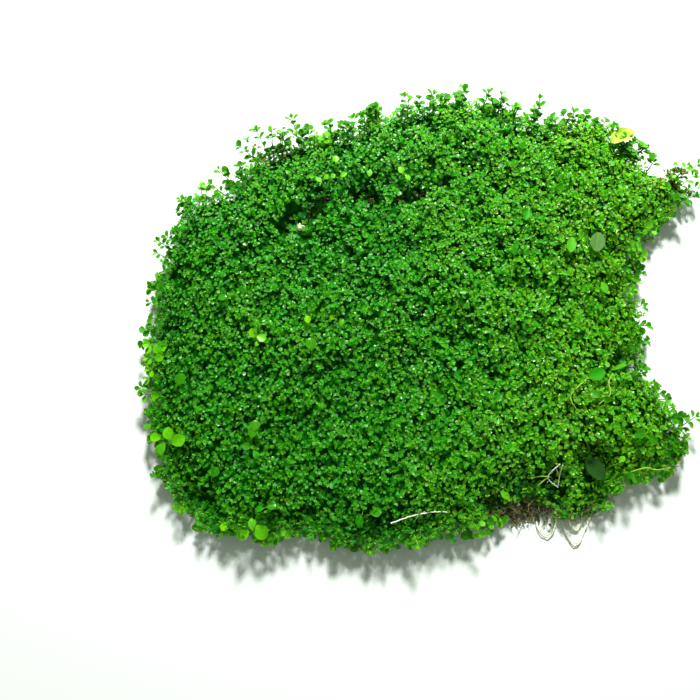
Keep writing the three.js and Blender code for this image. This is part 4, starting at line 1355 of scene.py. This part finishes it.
def fibres_out(count, shortest, longest):
    """Root fibres that stick out of the felt's side and sink to the floor."""
    edge = plan.places(np.abs(plan.rim - 5) < plan.STEP * 0.5)
    seats = edge[rng.integers(len(edge), size=count)] + rng.normal(0, 0.8, (count, 2))
    out = unit(plan.outward(*seats.T) + rng.normal(0, 0.5, (count, 3)) * [1, 1, 0])
    start = raised(seats, rng.uniform(0.6, 4.2, count))
    reach = rng.uniform(shortest, longest, (count, 1))
    turn = np.cross(UP, out) * rng.normal(0, 0.25, (count, 1))
    return bent(start, out * reach - UP * start[:, 2:] * 0.8, turn * reach)


heap = Heap()
set_stems(heap, walk_form, strands_under(FELT_STRANDS, 10, 4.0, 0.45), 0.22,
          rng.normal(0, 1, FELT_STRANDS), taper=0.5)
set_stems(heap, hair_form, fibres_out(FELT_FIBRES, 3, 9), 0.13, rng.normal(0, 1, FELT_FIBRES), taper=0.6)
heap.piece("root_felt_strands", ("tan root", "tan root"), "root_felt", "felt")


# Withered stems and leaves that lie in the tear and at the front

def on_tear(count):
    """Places scattered along the tear, clear of the hole."""
    part = rng.integers(len(tear_line) - 1, size=count)
    t = rng.random((count, 1))
    seats = tear_line[part] * (1 - t) + tear_line[part + 1] * t + rng.normal(0, 1.8, (count, 2))
    return seats[from_hole(raised(seats, 9.0)) > 5]


heap = Heap()
seats = on_tear(TEAR_STEMS)
count = len(seats)
way = toward(rng.uniform(0, math.tau, count), rng.normal(0, 0.25, count))
start = raised(seats, plan.height(*seats.T) - 4.4 + rng.normal(0, 0.7, count))
reach = rng.uniform(4, 9, count)[:, None]
curl = np.cross(way, UP) * rng.normal(0, 0.3, (count, 1))
paths = bent(start - way * reach / 2, way * reach, curl * reach)
set_stems(heap, hair_form, paths, 0.2, rng.normal(0, 1, count), taper=0.4)
seats = on_tear(TEAR_LEAVES)
count = len(seats)
set_leaves(heap, small_leaves[1], raised(seats, plan.height(*seats.T) - 4.2),
           rng.normal(0, 1, (count, 3)) * [1, 1, 0.3], UP + rng.normal(0, 0.4, (count, 3)),
           rng.uniform(2, 3.6, count), rng.random(count), rng.normal(0, 1, count))
# The litter's colours carry painted shade of the tear as well as their rot.
heap.piece("tear_litter", ("rotted leaf in painted shade", "rotted stem in painted shade"))

heap = Heap()
for *middle, wide, deep, count in BARE_FRONT:
    seats = np.array(middle) + shift[:2] + rng.normal(0, 1, (count, 2)) * [wide, deep]
    beyond = np.maximum(-plan.inset(*seats.T), 0)
    start = raised(seats, np.clip(6.5 - 0.55 * beyond, 1, None) * rng.uniform(0.15, 1, count))
    heading = rng.normal([0, -0.7, 0], [0.9, 0.7, 0.25], (count, 3))
    reach = rng.uniform(2.5, 7, (count, 1))
    curl = rng.normal(0, 0.35, (count, 3)) * [1, 1, 0.4]
    stems = bent(start, unit(heading) * reach, curl * reach)[rng.random(count) < 0.25]
    set_stems(heap, hair_form, stems, 0.2, rng.normal(0, 1, len(stems)), taper=0.4)
    places = start[rng.random(count) < 0.75] + UP * 0.6
    count = len(places)
    set_leaves(heap, low_leaf, places, rng.normal(0, 1, (count, 3)) * [1, 1, 0.5],
               UP + rng.normal(0, 0.5, (count, 3)), rng.uniform(1.2, 2.4, count),
               rng.random(count), rng.normal(0, 1, count))
heap.piece("front_litter", ("felt bit", "tan root"), slot="felt")


# Camera, floor and light

lens = bpy.data.cameras.new("camera")
lens.sensor_width = SENSOR_WIDTH
lens.lens = FOCAL_PIXELS / PHOTO_WIDTH * SENSOR_WIDTH
lens.clip_start = 0.01
camera = bpy.data.objects.new("camera", lens)
bpy.context.collection.objects.link(camera)
tilt = math.radians(CAMERA_ELEVATION)
away = np.array([0, -math.cos(tilt), math.sin(tilt)]) * CAMERA_DISTANCE
camera.location = Vector((np.array(PHOTO_CENTRE_IN_PLAN) + shift + away) * MM)
camera.rotation_euler = (math.pi / 2 - tilt, 0, 0)
bpy.context.scene.camera = camera

deselect()
bpy.ops.mesh.primitive_plane_add(size=FLOOR_SIZE, location=(0, 0, FLOOR_LEVEL))
floor = bpy.context.object
floor.name = "floor"
floor_paint, graph, look = shader("white surface")
graph.fill(look, {"Base Color": FLOOR_PAINT, "Roughness": 0.6})
floor.data.materials.append(floor_paint)

world = bpy.data.worlds.new("room")
world.use_nodes = True
world.node_tree.nodes["Background"].inputs["Color"].default_value = ROOM_COLOUR
world.node_tree.nodes["Background"].inputs["Strength"].default_value = ROOM_STRENGTH
bpy.context.scene.world = world

window = bpy.data.lights.new("window light", "AREA")
window.shape = "DISK"
window.size = LIGHT_SIZE
window.energy = LIGHT_POWER
window.color = LIGHT_COLOUR
lamp = bpy.data.objects.new("window light", window)
bpy.context.collection.objects.link(lamp)
low = math.radians(LIGHT_ELEVATION)
lamp.location = (0.02, LIGHT_DISTANCE * math.cos(low), LIGHT_DISTANCE * math.sin(low))
lamp.rotation_euler = (low - math.pi / 2, 0, 0)

bpy.context.scene.view_settings.view_transform = "Standard"
